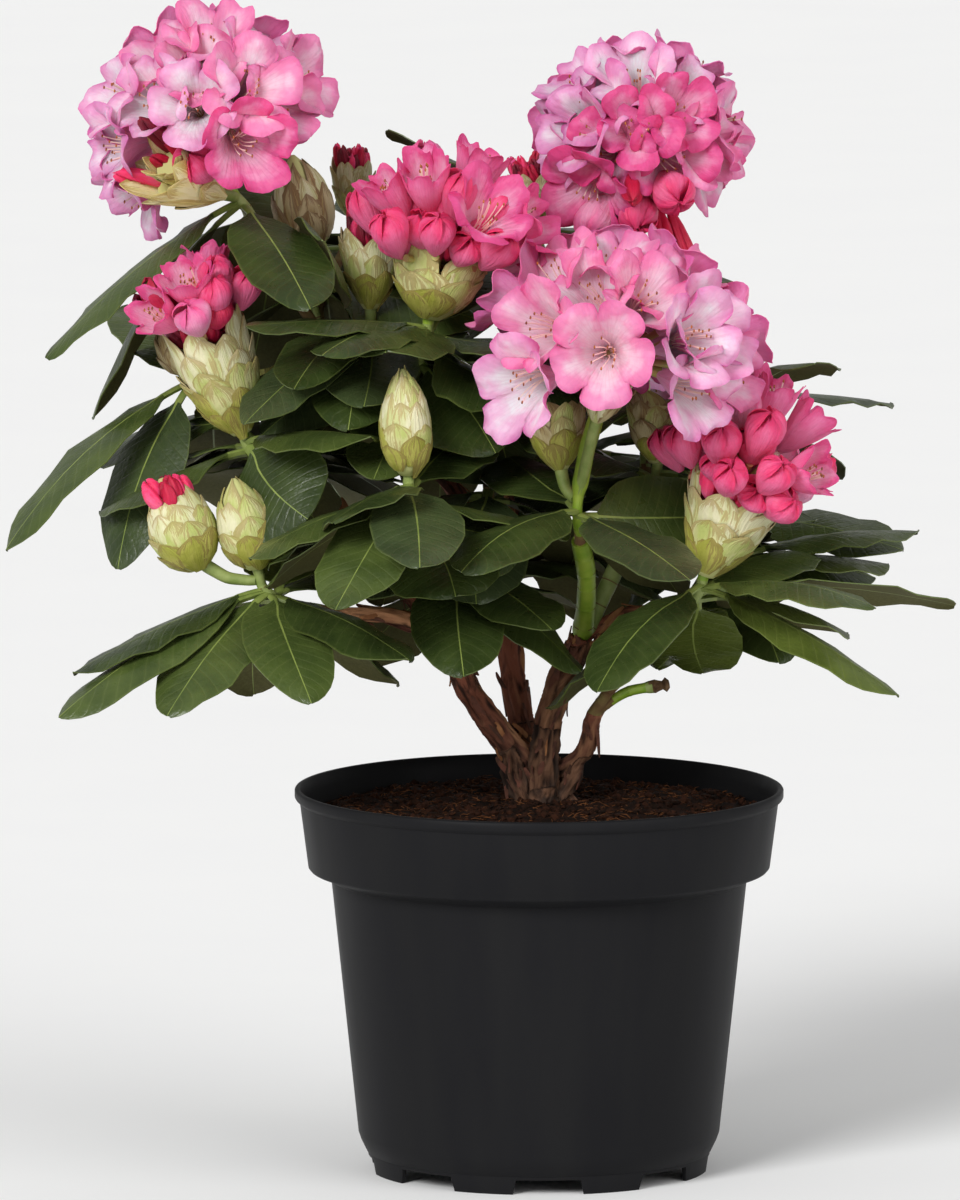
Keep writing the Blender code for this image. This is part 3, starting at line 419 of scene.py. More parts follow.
leafNudges = ((0, 0), (5, 0), (-5, 0), (0, 5), (0, -5), (8, 6), (-8, 6), (8, -6), (-8, -6), (0, 11),
              (0, -11), (14, 0), (-14, 0), (16, 10), (-16, 10), (16, -10), (-16, -10), (0, 18), (24, 4),
              (-24, 4), (32, -8), (-32, -8), (32, 14), (-32, 14), (0, -18))
flowerNudges = (0, -8, -16, -24, -34)


def grown(start, startWay, end, endWay, count, tipStraight=growth["straight"]):
    near, far = start + startWay * growth["straight"], end - endWay * tipStraight
    pull = (far - near).length
    places = [start]
    for step in range(count):
        t = step / (count - 1)
        places.append(near * (2 * t**3 - 3 * t**2 + 1) + startWay * pull * (t**3 - 2 * t**2 + t)
                      + far * (3 * t**2 - 2 * t**3) + endWay * pull * (t**3 - t**2))
    return places + [end]


def forkStarts(parent, place, way):
    children = [(name, point(tip), radius * mm) for name, (source, tip, radius, _) in limbs.items()
                if source == parent]
    children += [(name, point(spec[1]), growth["stemRadius"]) for name, spec in shoots.items()
                 if spec[0] == parent]
    ways = {name: ((tip - place).normalized() + way * growth["forkBlend"]).normalized()
            for name, tip, _ in children}
    starts = {}
    for name, _, radius in children:
        reach = radius * growth["forkReach"]
        for other, _, otherRadius in children:
            if other != name:
                angle = ways[name].angle(ways[other])
                reach = max(reach, growth["forkRoom"] * (radius + otherRadius) / (2 * math.sin(angle / 2)))
        starts[name] = (place + ways[name] * min(reach, growth["forkLongest"]), ways[name],
                        place - ways[name] * radius * growth["forkSunk"])
    return starts


def growLimbs():  # each limb's path from inside its parent, and where every limb and shoot starts
    starts = {}
    for name, (start, way, length) in trunkForks.items():
        way = Vector(way).normalized()
        starts[name] = (point(start) + way * length * mm, way, point(start))
    paths = {}
    for number, (name, (_, tip, _, _)) in enumerate(limbs.items()):
        start, way, foot = starts[name]
        start = start + way * growth["touchGap"]
        end = point(tip)
        places = grown(start, way, end, (end - start).normalized(), growth["limbPoints"])
        roll = random.Random(number)
        gnarl = growth["gnarl"] * min(1, (end - start).length / growth["usualLength"])
        for step in range(2, len(places) - 2):
            places[step] += Vector([roll.uniform(-gnarl, gnarl) for _ in range(3)])
        paths[name] = [foot] + places
        starts.update(forkStarts(name, places[-1], (places[-1] - places[-2]).normalized()))
    return paths, starts


def backAlong(places, distance):
    for end, start in zip(places[::-1], places[-2::-1]):
        length = (end - start).length
        if distance <= length:
            return end.lerp(start, distance / length)
        distance -= length
    return places[0]


def fillLeaves(name, handLeaves, seed):
    leaves = list(handLeaves)
    roll = random.Random(seed)
    allRound = name in innerShoots or not handLeaves
    bearing = roll.uniform(0, 360)
    for _ in range(growth["fillTries"]):
        bearing = (bearing + goldenTurn) % 360
        fall = roll.uniform(*growth["fillFall"])
        length = roll.uniform(*growth["fillLength"])
        toTheBack = growth["backBearings"][0] < bearing < growth["backBearings"][1]
        if len(leaves) >= growth["whorlCount"] or not (allRound or toTheBack):
            continue
        gaps = [abs((bearing - other[0] + 180) % 360 - 180) for other in leaves]
        if min(gaps, default=360) > growth["fillApart"]:
            tilt = roll.uniform(-growth["fillRoll"], growth["fillRoll"])
            leaves.append((round(bearing), round(fall), round(length), round(tilt)))
    return leaves[len(handLeaves):]


def growWhorl(name, seed, places):  # leaves: root, bearing, fall, length, roll and whether listed in the shoot's table
    handLeaves = shoots[name][3]
    sideBud = any(spec[0] == name and spec[1] for spec in buds.values())
    down = growth["rootStartBelowSideBud"] if sideBud else growth["rootStart"]
    leaves = []
    for bearing, fall, length, *roll in handLeaves:
        leaves.append((backAlong(places, down), bearing, fall, length * mm, roll[0] if roll else 0, True))
        down += growth["rootStep"]
    fill = fillLeaves(name, handLeaves, seed)
    stemLength = sum((end - start).length for start, end in zip(places, places[1:]))
    step = max(growth["rootStep"], (stemLength * growth["fillStemShare"] - down) / max(len(fill), 1))
    for bearing, fall, length, roll in fill:
        leaves.append((backAlong(places, down), bearing, fall, length * mm, roll, False))
        down += step
    return leaves


def leafAxes(bearing, fall, roll):
    bearing, fall, roll = (math.radians(value) for value in (bearing, fall, roll))
    out = Vector((math.cos(bearing), math.sin(bearing), 0))
    chord = out * math.cos(fall) - Vector((0, 0, math.sin(fall)))
    up = out * math.sin(fall) + Vector((0, 0, math.cos(fall)))
    side = up.cross(chord)
    return chord, up * math.cos(roll) - side * math.sin(roll), side * math.cos(roll) + up * math.sin(roll)


def cornersOf(name):  # a search tree over a node's corners
    vertices = nodes[name].data.vertices
    tree = KDTree(len(vertices))
    for number, vert in enumerate(vertices):
        tree.insert(vert.co, number)
    tree.balance()
    return tree


cornerReach = 0.06 * mm  # a predicted leaf tip or petal corner this near to one of the node's is the same


def standingLeaf(leaf, corners):  # the leaf turned as it stands in the frame, or none where it has no room
    root, bearing, fall, length, roll, byHand = leaf
    for turn, dip in leafNudges:
        chord, _, _ = leafAxes(bearing + turn, fall + dip, roll)
        if corners.find(root + chord * length)[2] < cornerReach:
            return root, bearing + turn, fall + dip, length, roll, byHand
    return None


def flowerWays(axis, count, spread, firstTurn, lift):  # directions, and how far each points along the axis
    headFrame = axis.to_track_quat("Z", "Y")
    ways = []
    for number in range(count):
        level = 1 - (1 - math.cos(math.radians(spread))) * (number + 0.5) / count
        slope = math.acos(level) + math.radians(lift)
        turn = math.radians(firstTurn + goldenTurn * number)
        local = Vector((math.sin(slope) * math.cos(turn), math.sin(slope) * math.sin(turn), math.cos(slope)))
        ways.append((headFrame @ local, local.z))
    return ways


def reachAlong(spec, upright):  # how far a head's flowers reach, by how upright they stand in it
    upright = max(upright, 0) ** 2
    return (spec["up"] * upright + spec["out"] * (1 - upright)) * mm


def shootTip(shoot, side):
    _, place, lean, _ = shoots[shoot]
    lean = Vector(lean).normalized()
    if side is None:
        return point(place) + lean * growth["touchGap"], lean
    side = Vector(side)
    side = (side - lean * side.dot(lean)).normalized()
    out = side * (growth["stemRadius"] + growth["touchGap"])
    return point(place) - lean * growth["sideBudStart"] + out, side


def standingFlowers(name, spec, rimShare):  # number, direction and reach of each that stands in the frame
    start, _ = shootTip(spec["shoot"], None)
    way = Vector(spec["way"]).normalized()
    middle = start + way * spec["focus"] * mm
    corners = cornersOf(name)
    found = []
    lifted = [flowerWays(way, spec["count"], spec["spread"], spec["firstTurn"], lift)
              for lift in flowerNudges]
    for number, choices in enumerate(zip(*lifted)):
        for direction, upright in choices:
            reach = reachAlong(spec, upright)
            turned = direction.to_track_quat("Z", "Y")
            hits = 0
            for petal in range(5):
                angle = petal * math.tau / 5
                flat = Vector((math.cos(angle), math.sin(angle), 0)) * spec["size"] * mm
                hits += corners.find(middle + turned @ flat + direction * reach * rimShare)[2] < cornerReach
            if hits:
                found.append((number, direction, reach))
                break
    return middle, way, found


limbPaths, openStarts = growLimbs()
stemPaths = {}
for name, (_, whorlPlace, lean, _) in shoots.items():
    start, way, _ = openStarts[name]
    lean = Vector(lean).normalized()
    stemPaths[name] = grown(start + way * growth["touchGap"], way, point(whorlPlace), lean,
                            growth["stemPoints"], growth["stemStraight"])
leaves = {}
missing = []
for seed, name in enumerate(shoots):
    corners = cornersOf(name)
    standing = []
    for leaf in growWhorl(name, seed, stemPaths[name]):
        found = standingLeaf(leaf, corners)
        if found:
            standing.append(found)
        elif leaf[5]:
            missing.append((name, leaf))
    leaves[name] = standing
print("leaves found in the frame:", sum(len(found) for found in leaves.values()),
      "missing by hand:", len(missing))


# Materials

def maths(tree, operation, *values):  # values are numbers or sockets
    node = tree.nodes.new("ShaderNodeMath")
    node.operation = operation
    for slot, value in enumerate(values):
        if isinstance(value, (int, float)):
            node.inputs[slot].default_value = value
        else:
            tree.links.new(value, node.inputs[slot])
    return node.outputs[0]


def grainOf(tree, scale, detail=3.0, stretch=(1, 1, 1), source=None):  # noise in the piece's own space
    if source is None:
        source = addNode(tree, "ShaderNodeTexCoord").outputs["Object"]
    turned = addNode(tree, "ShaderNodeMapping", {"Scale": stretch}, {"Vector": source}).outputs[0]
    grain = addNode(tree, "ShaderNodeTexNoise", {"Scale": scale, "Detail": detail}, {"Vector": turned})
    return grain.outputs[0]


def attributeOf(tree, key, output="Vector"):  # values that the mesh keeps for each of its points
    return addNode(tree, "ShaderNodeAttribute", {"attribute_name": key}).outputs[output]


def spotOf(tree):  # where a point lies on its blade: across from -1 to 1, distance from the middle, along
    parts = addNode(tree, "ShaderNodeSeparateXYZ", links={0: attributeOf(tree, "spot")})
    return parts.outputs[0], maths(tree, "ABSOLUTE", parts.outputs[0]), parts.outputs[1]


def paint(tree, shader, colour, height=None, strength=0.3, distance=0.0005):
    tree.links.new(colour, shader.inputs["Base Color"])
    if height is not None:
        settings = {"Strength": strength, "Distance": distance}
        bump = addNode(tree, "ShaderNodeBump", settings, {"Height": height})
        tree.links.new(bump.outputs[0], shader.inputs["Normal"])


def leafGreen(name, hexColour, lightHex, darkHex):
    # Upper side of a leathery evergreen leaf: waxy skin with a broad soft sheen and sunken side veins
    material, tree, shader = newMaterial(name, hexColour, {"IOR": 1.45, "Specular IOR Level": 0.4})
    across, side, along = spotOf(tree)
    lines = maths(tree, "MULTIPLY_ADD", along, 15.0, maths(tree, "MULTIPLY", side, -2.2))
    vein = ramp(tree, maths(tree, "PINGPONG", lines, 0.5), ((0.0, 1.0), (0.07, 0.3), (0.20, 0.0)))
    tone = mixColour(tree, ramp(tree, grainOf(tree, 55.0), ((0.35, 0.0), (0.65, 1.0))), darkHex, hexColour)
    veined = mixColour(tree, maths(tree, "MULTIPLY", vein, 0.10), tone, lightHex)
    edged = mixColour(tree, ramp(tree, side, ((0.95, 0.0), (1.0, 0.18))), veined, "#8c9a4e")
    quilt = maths(tree, "MULTIPLY_ADD", grainOf(tree, 130.0, 2.0), 0.45, grainOf(tree, 520.0, 3.0))
    skin = maths(tree, "MULTIPLY_ADD", vein, -0.45, quilt)
    paint(tree, shader, edged, skin, 0.5, 0.0006)
    rough = ramp(tree, grainOf(tree, 260.0, 4.0), ((0.3, 0.26), (0.7, 0.42)))
    tree.links.new(rough, shader.inputs["Roughness"])
    return material


def plainGrain(name, hexColour, otherHex, scale, roughness, bump=0.2):
    # A living skin or fibre whose colour drifts between two near tones, with a fine grain
    sheen = 0.5 if roughness < 0.7 else 0.15  # rough fibrous skins shade their own sheen
    sockets = {"Roughness": roughness, "IOR": 1.45, "Specular IOR Level": sheen}
    material, tree, shader = newMaterial(name, hexColour, sockets)
    drift = ramp(tree, grainOf(tree, scale, 4.0), ((0.38, 0.0), (0.62, 1.0)))
    paint(tree, shader, mixColour(tree, drift, hexColour, otherHex), grainOf(tree, scale * 6), bump, 0.0004)
    return material


leafTones = [  # dealt out by shoot and leaf: deep, mid, olive, grey green
    leafGreen("leafDeepGreen", "#39471f", "#717b48", "#2a3717"),
    leafGreen("leafMidGreen", "#4a5828", "#848e54", "#3a4820"),
    leafGreen("leafOliveGreen", "#566328", "#8f9752", "#46521f"),
    leafGreen("leafGreyGreen", "#404d2c", "#6e784e", "#323e24"),
]
leafUnder = plainGrain("leafUnderFelt", "#5b5a37", "#535131", 700, 0.75)
leafRib = plainGrain("leafRibYellowGreen", "#85934a", "#6f7f3c", 120, 0.45)


def petalSkin(name, throatHex, bodyHex, edgeHex, veinHex):
    # Thin moist petal: pale up the middle of each lobe, deeper towards its ruffled edge, faint fanning veins.
    # On shut flowers the edge tone fills each crease, partly painted shade in the folds
    material, tree, shader = newMaterial(name, bodyHex, {
        "Roughness": 0.55, "IOR": 1.4, "Subsurface Weight": 0.45, "Subsurface Scale": 0.005,
        "Subsurface Radius": (1.0, 0.35, 0.4)})
    across, side, along = spotOf(tree)
    spot = attributeOf(tree, "spot")
    cloud = grainOf(tree, 150.0)
    wrinkle = maths(tree, "MULTIPLY_ADD", grainOf(tree, 1.0, 3.0, (3.6, 2.2, 61), spot), 1.6, cloud)
    outer = maths(tree, "MULTIPLY_ADD", maths(tree, "MULTIPLY", along, along), 0.58, -0.22)
    beside = maths(tree, "MULTIPLY_ADD", maths(tree, "MULTIPLY", side, along), 0.42, outer)
    deep = maths(tree, "MULTIPLY_ADD", cloud, 0.50, beside)
    body = ramp(tree, deep, ((0.16, throatHex), (0.46, bodyHex), (0.90, edgeHex)))
    fan = maths(tree, "PINGPONG", maths(tree, "MULTIPLY", across, 5.0), 0.5)
    vein = maths(tree, "MULTIPLY", ramp(tree, fan, ((0.0, 1.0), (0.22, 0.0))), 0.16)
    paint(tree, shader, mixColour(tree, vein, body, veinHex), wrinkle, 0.45, 0.0016)
    return material


petalTones = [
    petalSkin("petalPaleRose", "#f7e3ec", "#eda3c5", "#cf639c", "#d98fb8"),
    petalSkin("petalRose", "#f7cbda", "#f184ad", "#d9588f", "#d8699f"),
    petalSkin("petalHotPink", "#eda0bc", "#df4f88", "#c8306e", "#c93a74"),
    petalSkin("petalMauve", "#f3dee8", "#e193bb", "#c45b96", "#c56ea2"),
]
petalBacks = [
    petalSkin("petalBackRose", "#e597bb", "#de78a9", "#cf5b97", "#c95a93"),
    petalSkin("petalBackMauve", "#df97be", "#d077a9", "#ba5d98", "#b55e97"),
    petalSkin("petalBackHotPink", "#ea7ba5", "#e2588c", "#cf3f76", "#cc4078"),
]
# Shut flowers carry these edge tones into each crease: partly the folded margins' own colour, partly painted
# shade in the folds
shutTones = [
    petalSkin("budPetalCrimson", "#d02650", "#bd1840", "#980d2d", "#9c1232"),
    petalSkin("budPetalRose", "#f5648e", "#ee3a6e", "#d82757", "#d8305c"),
    petalSkin("budPetalPink", "#f792b2", "#f06396", "#e04880", "#e05888"),
    petalSkin("budPetalDark", "#8c1030", "#780c27", "#56071b", "#620a20"),
]
filament = plainGrain("filamentCream", "#f6e3cf", "#f3cfcb", 200, 0.5)
anther = plainGrain("antherAmber", "#b9682e", "#7c3f1e", 400, 0.6)
pedicel = plainGrain("flowerStalkGreen", "#a9a85a", "#b57a5e", 90, 0.5)


def scaleSkin(name, hexColour, tintHex, edgeHex):
    # Dry downy bud scale: papery, ribbed along, its tip and edges turning brown
    material, tree, shader = newMaterial(name, hexColour, {"Roughness": 0.62, "IOR": 1.42})
    across, side, along = spotOf(tree)
    spot = attributeOf(tree, "spot")
    cloud = grainOf(tree, 1.0, 4.0, (1.4, 1.1, 47), spot)
    streak = grainOf(tree, 1.0, 5.0, (9.0, 1.3, 47), spot)
    worn = maths(tree, "ADD", maths(tree, "POWER", side, 6.0), maths(tree, "POWER", along, 5.0))
    edge = maths(tree, "MULTIPLY_ADD", worn, 0.34, maths(tree, "MULTIPLY_ADD", cloud, 0.75, streak))
    base = mixColour(tree, ramp(tree, cloud, ((0.40, 0.0), (0.60, 1.0))), hexColour, tintHex)
    colour = mixColour(tree, ramp(tree, edge, ((0.98, 0.0), (1.0, 0.6))), base, edgeHex)
    ribs = maths(tree, "MULTIPLY_ADD", streak, 2.0, grainOf(tree, 300.0))
    paint(tree, shader, colour, ribs, 0.5, 0.0008)
    return material


scaleTones = [  # low, middle, top, dry, fresh
    scaleSkin("budScaleOlive", "#99993c", "#b2ad56", "#80683a"),
    scaleSkin("budScaleGreen", "#b3bb6b", "#cecb92", "#9a8048"),
    scaleSkin("budScaleCream", "#dad6b0", "#c3c687", "#a88a58"),
    scaleSkin("budScaleTan", "#c4b68c", "#a28a58", "#77553a"),
    scaleSkin("budScaleYellow", "#f1eab6", "#e4da88", "#b89a52"),
]


def barkSkin(name):
    # Thin bark that flakes in long strips: red brown skin, tan where it has peeled, dark cracks that are
    # partly the bark's own fissures and partly painted shade in its sunken relief
    material, tree, shader = newMaterial(name, "#6b4230", {"Roughness": 0.85, "Specular IOR Level": 0.2})
    grain, relief, age = (attributeOf(tree, *key) for key in (("grain",), ("relief", "Fac"), ("age", "Fac")))
    strips = grainOf(tree, 300.0, 6.0, source=grain)
    patches = grainOf(tree, 110.0, 4.0, source=grain)
    peeled = ramp(tree, patches, ((0.46, 0.0), (0.58, 1.0)))
    skin = mixColour(tree, peeled, "#8f543f", "#bd8861")
    worn = mixColour(tree, peeled, "#3b2d25", "#6b4c39")
    tone = mixColour(tree, age, skin, worn)
    darker = mixColour(tree, ramp(tree, strips, ((0.32, 0.9), (0.46, 0.0))), tone, "#38231b")
    height = maths(tree, "MULTIPLY_ADD", age, -0.20, relief)
    # Darkest where the relief sinks: partly the fissures' own colour, partly painted shade in the hollows
    crackedAndShaded = mixColour(tree, ramp(tree, height, ((0.12, 0.9), (0.38, 0.0))), darker, "#1f140f")
    paint(tree, shader, crackedAndShaded, strips, 0.9, 0.0022)
    return material


bark = barkSkin("flakingBark")
flake = plainGrain("barkFlake", "#70473a", "#4c352b", 170, 0.85, 0.5)
paleFlake = plainGrain("barkFlakePale", "#b07c52", "#8c5c3c", 170, 0.85, 0.5)
brightStem = plainGrain("youngStemGreen", "#93a83c", "#7a9a2a", 130, 0.42)
dullStem = plainGrain("olderStemGreen", "#7a8c44", "#93a05c", 130, 0.55)
brownStem = plainGrain("stemBrown", "#6d5238", "#7d6d43", 150, 0.7, 0.4)
cutWood = plainGrain("dryCutWood", "#7b6145", "#4a3526", 220, 0.9, 0.5)


def potPlastic():
    # Injection moulded black polypropylene: satin, very fine grain, faint flow marks up the wall
    sockets = {"IOR": 1.49, "Specular IOR Level": 0.05}
    material, tree, shader = newMaterial("blackPolypropylene", "#1c1c1e", sockets)
    flow = grainOf(tree, 45.0, 4.0, (1, 1, 0.12))
    colour = mixColour(tree, ramp(tree, flow, ((0.35, 0.0), (0.65, 1.0))), "#1b1b1d", "#1e1e1f")
    paint(tree, shader, colour, grainOf(tree, 2200.0, 2.0), 0.12, 0.0002)
    tree.links.new(ramp(tree, flow, ((0.3, 0.40), (0.7, 0.50))), shader.inputs["Roughness"])
    return material


plastic = potPlastic()
peat = plainGrain("moistPeat", "#23120a", "#110905", 320, 0.95, 0.9)
peatFibre = plainGrain("peatFibre", "#6c4326", "#28160d", 60, 0.9)
peatCrumb = plainGrain("peatCrumb", "#321b10", "#170c06", 300, 0.95, 0.6)
print("materials made")


# Pot: a profile spun round, with foot notches and drain holes cut out, and its edges eased

pot = {"steps": 144, "height": 181 * mm, "lipRadius": 115 * mm, "lipThickness": 2.6 * mm,
       "beadHeight": 4.5 * mm, "bandTopRadius": 112.6 * mm, "bandFootRadius": 108.6 * mm,
       "bandFootHeight": 143 * mm, "shoulderRadius": 97.8 * mm, "shoulderHeight": 138 * mm,
       "bodyFootRadius": 85.1 * mm, "bodyFootHeight": 18 * mm, "stepRadius": 80.7 * mm,
       "stepHeight": 8.6 * mm, "footRadius": 79.5 * mm, "wall": 1.9 * mm, "floorUnderside": 8 * mm,
       "floorTop": 10 * mm, "padRadius": 19 * mm, "notchCount": 8, "notchTurn": 3,
       "notchSize": (36 * mm, 20 * mm, 14 * mm), "notchTaper": 0.84, "drainRadius": 4.5 * mm,
       "drainPlace": 66 * mm, "drainSides": 24, "easedEdge": 0.35 * mm, "easedAbove": 50}


def potInner(gap=0.0):
    wall = pot["wall"]
    return [(pot["bandTopRadius"] - wall - gap, pot["height"] - pot["beadHeight"] - wall),
            (pot["bandFootRadius"] - wall - gap, pot["bandFootHeight"] + wall + gap),
            (pot["shoulderRadius"] - wall - gap, pot["shoulderHeight"] + wall + 2 * gap),
            (pot["bodyFootRadius"] - wall - gap, pot["bodyFootHeight"] + gap),
            (pot["footRadius"] - wall - gap, pot["floorTop"] + gap)]


def spun(name, profile, steps, materials):
    edges = [(at, at + 1) for at in range(len(profile) - 1)]
    thing = meshOf(name, [(radius, 0, height) for radius, height in profile], [], materials, edges=edges)
    editWhere(thing, "VERT", lambda vert: True)
    bpy.ops.mesh.spin(steps=steps, angle=math.tau, center=(0, 0, 0), axis=(0, 0, 1), use_auto_merge=True)
    bpy.ops.mesh.select_all(action="SELECT")
    bpy.ops.mesh.remove_doubles(threshold=1e-6)
    bpy.ops.mesh.normals_make_consistent(inside=False)
    deselectAll()
    return thing


def makePot():
    wall, height, lip = pot["wall"], pot["height"], pot["lipRadius"]
    outer = [(0, 0), (pot["padRadius"], 0), (pot["padRadius"] + wall / 2, pot["floorUnderside"]),
             (pot["footRadius"] - wall, pot["floorUnderside"]), (pot["footRadius"] - wall, 0),
             (pot["footRadius"], 0), (pot["stepRadius"], pot["stepHeight"]),
             (pot["stepRadius"] + 0.5 * mm, pot["stepHeight"] + 0.4 * mm),
             (pot["bodyFootRadius"] - 1.2 * mm, pot["bodyFootHeight"] - 3.5 * mm),
             (pot["bodyFootRadius"], pot["bodyFootHeight"]),
             (pot["shoulderRadius"], pot["shoulderHeight"]),
             (pot["shoulderRadius"] + 2 * mm, pot["shoulderHeight"] + 1.6 * mm),
             (pot["bandFootRadius"] - 1 * mm, pot["bandFootHeight"] - 0.4 * mm),
             (pot["bandFootRadius"], pot["bandFootHeight"] + 0.8 * mm),
             (pot["bandTopRadius"], height - pot["beadHeight"] - wall),
             (lip - 0.5 * mm, height - pot["beadHeight"] - 0.3 * mm),
             (lip, height - pot["beadHeight"] + 0.6 * mm),
             (lip, height - wall / 2), (lip - 0.4 * mm, height - 0.3 * mm), (lip - wall / 2, height)]
    inner = [(lip - pot["lipThickness"] + 0.4 * mm, height), (lip - pot["lipThickness"], height - 0.5 * mm)]
    body = spun("nurseryPot", outer + inner + potInner() + [(0, pot["floorTop"])], pot["steps"], [plastic])
    for number in range(pot["notchCount"]):
        angle = math.radians(pot["notchTurn"]) + number * math.tau / pot["notchCount"]
        turn = Matrix.Rotation(angle, 4, "Z")
        deselectAll()
        bpy.ops.mesh.primitive_cube_add(size=1, location=(0, -pot["footRadius"], 0), scale=pot["notchSize"])
        notch = bpy.context.object
        bpy.ops.object.transform_apply(location=True, rotation=True, scale=True)
        editWhere(notch, "FACE", lambda face: face.normal.z > 0.5)
        bpy.ops.transform.resize(value=(pot["notchTaper"], 1, 1), center_override=(0, -pot["footRadius"], 0))
        bpy.ops.object.mode_set(mode="OBJECT")
        notch.data.transform(turn)
        hole = turn @ Vector((0, -pot["drainPlace"], pot["floorTop"]))
        bpy.ops.mesh.primitive_cylinder_add(vertices=pot["drainSides"], radius=pot["drainRadius"],
                                            depth=4 * pot["floorUnderside"], location=hole)
        drain = bpy.context.object
        for cutter in (notch, drain):
            applyModifier(body, "BOOLEAN", {"operation": "DIFFERENCE", "object": cutter, "solver": "EXACT"})
            bpy.data.objects.remove(cutter)
    applyModifier(body, "BEVEL", {"width": pot["easedEdge"], "segments": 2, "limit_method": "ANGLE",
                                  "angle_limit": math.radians(pot["easedAbove"])})
    return settle(smoothed(body, 35), "pot_plastic", "pot")


makePot()
print("pot made")


# Soil: a raked surface that fills the pot, with crumbs and fibres strewn over it

soil = {"edgeHeight": 168 * mm, "slope": ((24, 0.0), (52, 1.0), (82, 3.5)), "rings": 46, "steps": 120,
        "wallGap": 0.45 * mm, "lumpHeight": 4.2 * mm, "lumpCalm": 0.8, "crumbs": 2600,
        "crumbSize": (0.7 * mm, 3.0 * mm), "crumbsFromRim": 2.5 * mm, "fibres": 2600,
        "fibreLength": (1.5 * mm, 5.5 * mm), "fibreRadius": 0.16 * mm, "fibresFromRim": 5 * mm,
        "trunkClear": 15 * mm, "seed": 5}


def soilHeight(x, y):
    reach = math.hypot(x, y)
    edge = soil["edgeRadius"]
    marks = [0] + [radius * mm for radius, _ in soil["slope"]] + [edge]
    drops = [0] + [drop * mm for _, drop in soil["slope"]] + [growth["soilHeight"] - soil["edgeHeight"]]
    height = growth["soilHeight"] - float(np.interp(reach, marks, drops))
    away = float(ease(reach, 12 * mm, 30 * mm)) * float(1 - ease(reach, edge - 5 * mm, edge - 0.5 * mm))
    lump = noise.noise(Vector((x, y, 0)) * 55) + 0.55 * noise.noise(Vector((x, y, 3)) * 170)
    lump += 0.35 * noise.noise(Vector((x, y, 7)) * 420)
    return height + soil["lumpHeight"] * away * lump * soil["lumpCalm"]


def soilPlace(roll, fromRim):  # a random place on the soil, or none where the trunk stands
    angle, reach = roll.uniform(0, math.tau), math.sqrt(roll.random()) * (soil["edgeRadius"] - fromRim)
    x, y = reach * math.cos(angle), reach * math.sin(angle)
    trunkMiddle = Vector((*trunkFoot, 0)) * mm
    if math.hypot(x - trunkMiddle.x, y - trunkMiddle.y) < soil["trunkClear"]:
        return None
    return x, y


def makeSoil():
    gap = soil["wallGap"]
    wall = potInner(gap)
    bandRise = pot["height"] - pot["beadHeight"] - pot["bandFootHeight"]
    slope = (pot["bandTopRadius"] - pot["bandFootRadius"]) / bandRise
    soil["edgeRadius"] = wall[1][0] + slope * (soil["edgeHeight"] - pot["bandFootHeight"])
    top = [(soil["edgeRadius"] * share, growth["soilHeight"]) for share in np.linspace(0, 1, soil["rings"])]
    top[-1] = (soil["edgeRadius"], soil["edgeHeight"])
    profile = [(0, pot["floorTop"] + gap)] + wall[:0:-1] + top[::-1]
    ground = spun("pottingSoil", profile, soil["steps"], [peat])
    for vert in ground.data.vertices:
        if vert.co.z > soil["edgeHeight"] + 0.5 * mm:
            vert.co.z = soilHeight(vert.co.x, vert.co.y)
    settle(smoothed(ground), "soil", "soil")
    roll = random.Random(soil["seed"])
    deselectAll()
    bpy.ops.mesh.primitive_ico_sphere_add(subdivisions=1, radius=1)
    crumb = shapeOf(bpy.context.object)
    crumbs = Copies()
    for _ in range(soil["crumbs"]):
        place = soilPlace(roll, soil["crumbsFromRim"])
        if place is None:
            continue
        x, y = place
        size = roll.uniform(*soil["crumbSize"])
        jitter = np.array([[roll.uniform(0.6, 1.25)] for _ in crumb["places"]])
        squash = np.array([1, roll.uniform(0.5, 1), roll.uniform(0.4, 0.8)])
        places = crumb["places"] * jitter * size * squash
        turn = np.array(Matrix.Rotation(roll.uniform(0, math.tau), 3, "Z"))
        crumbs.add(crumb, places @ turn.T + np.array([x, y, soilHeight(x, y) + size * 0.1]))
    settle(crumbs.make("soilCrumbs", [peatCrumb]), "soil")
    lines = []
    for _ in range(soil["fibres"]):
        place = soilPlace(roll, soil["fibresFromRim"])
        if place is None:
            continue
        x, y = place
        heading, length = roll.uniform(0, math.tau), roll.uniform(*soil["fibreLength"])
        tilt = roll.uniform(-0.15, 0.45)
        foot = Vector((x, y, soilHeight(x, y)))
        step = Vector((math.cos(heading), math.sin(heading), tilt)) * length / 2
        bend = Vector((roll.uniform(-1, 1), roll.uniform(-1, 1), roll.uniform(0, 1))) * length * 0.15
        lines.append(([foot, foot + step + bend, foot + step * 2],
                      [soil["fibreRadius"], soil["fibreRadius"] * 1.3, soil["fibreRadius"] * 0.6]))
    settle(tubesOf("soilFibres", lines, 4, [peatFibre]), "soil")


makeSoil()
print("soil made")


# Wood: tubes along the limbs' paths, welded by a fine remesh, then given the bark's relief and its flakes

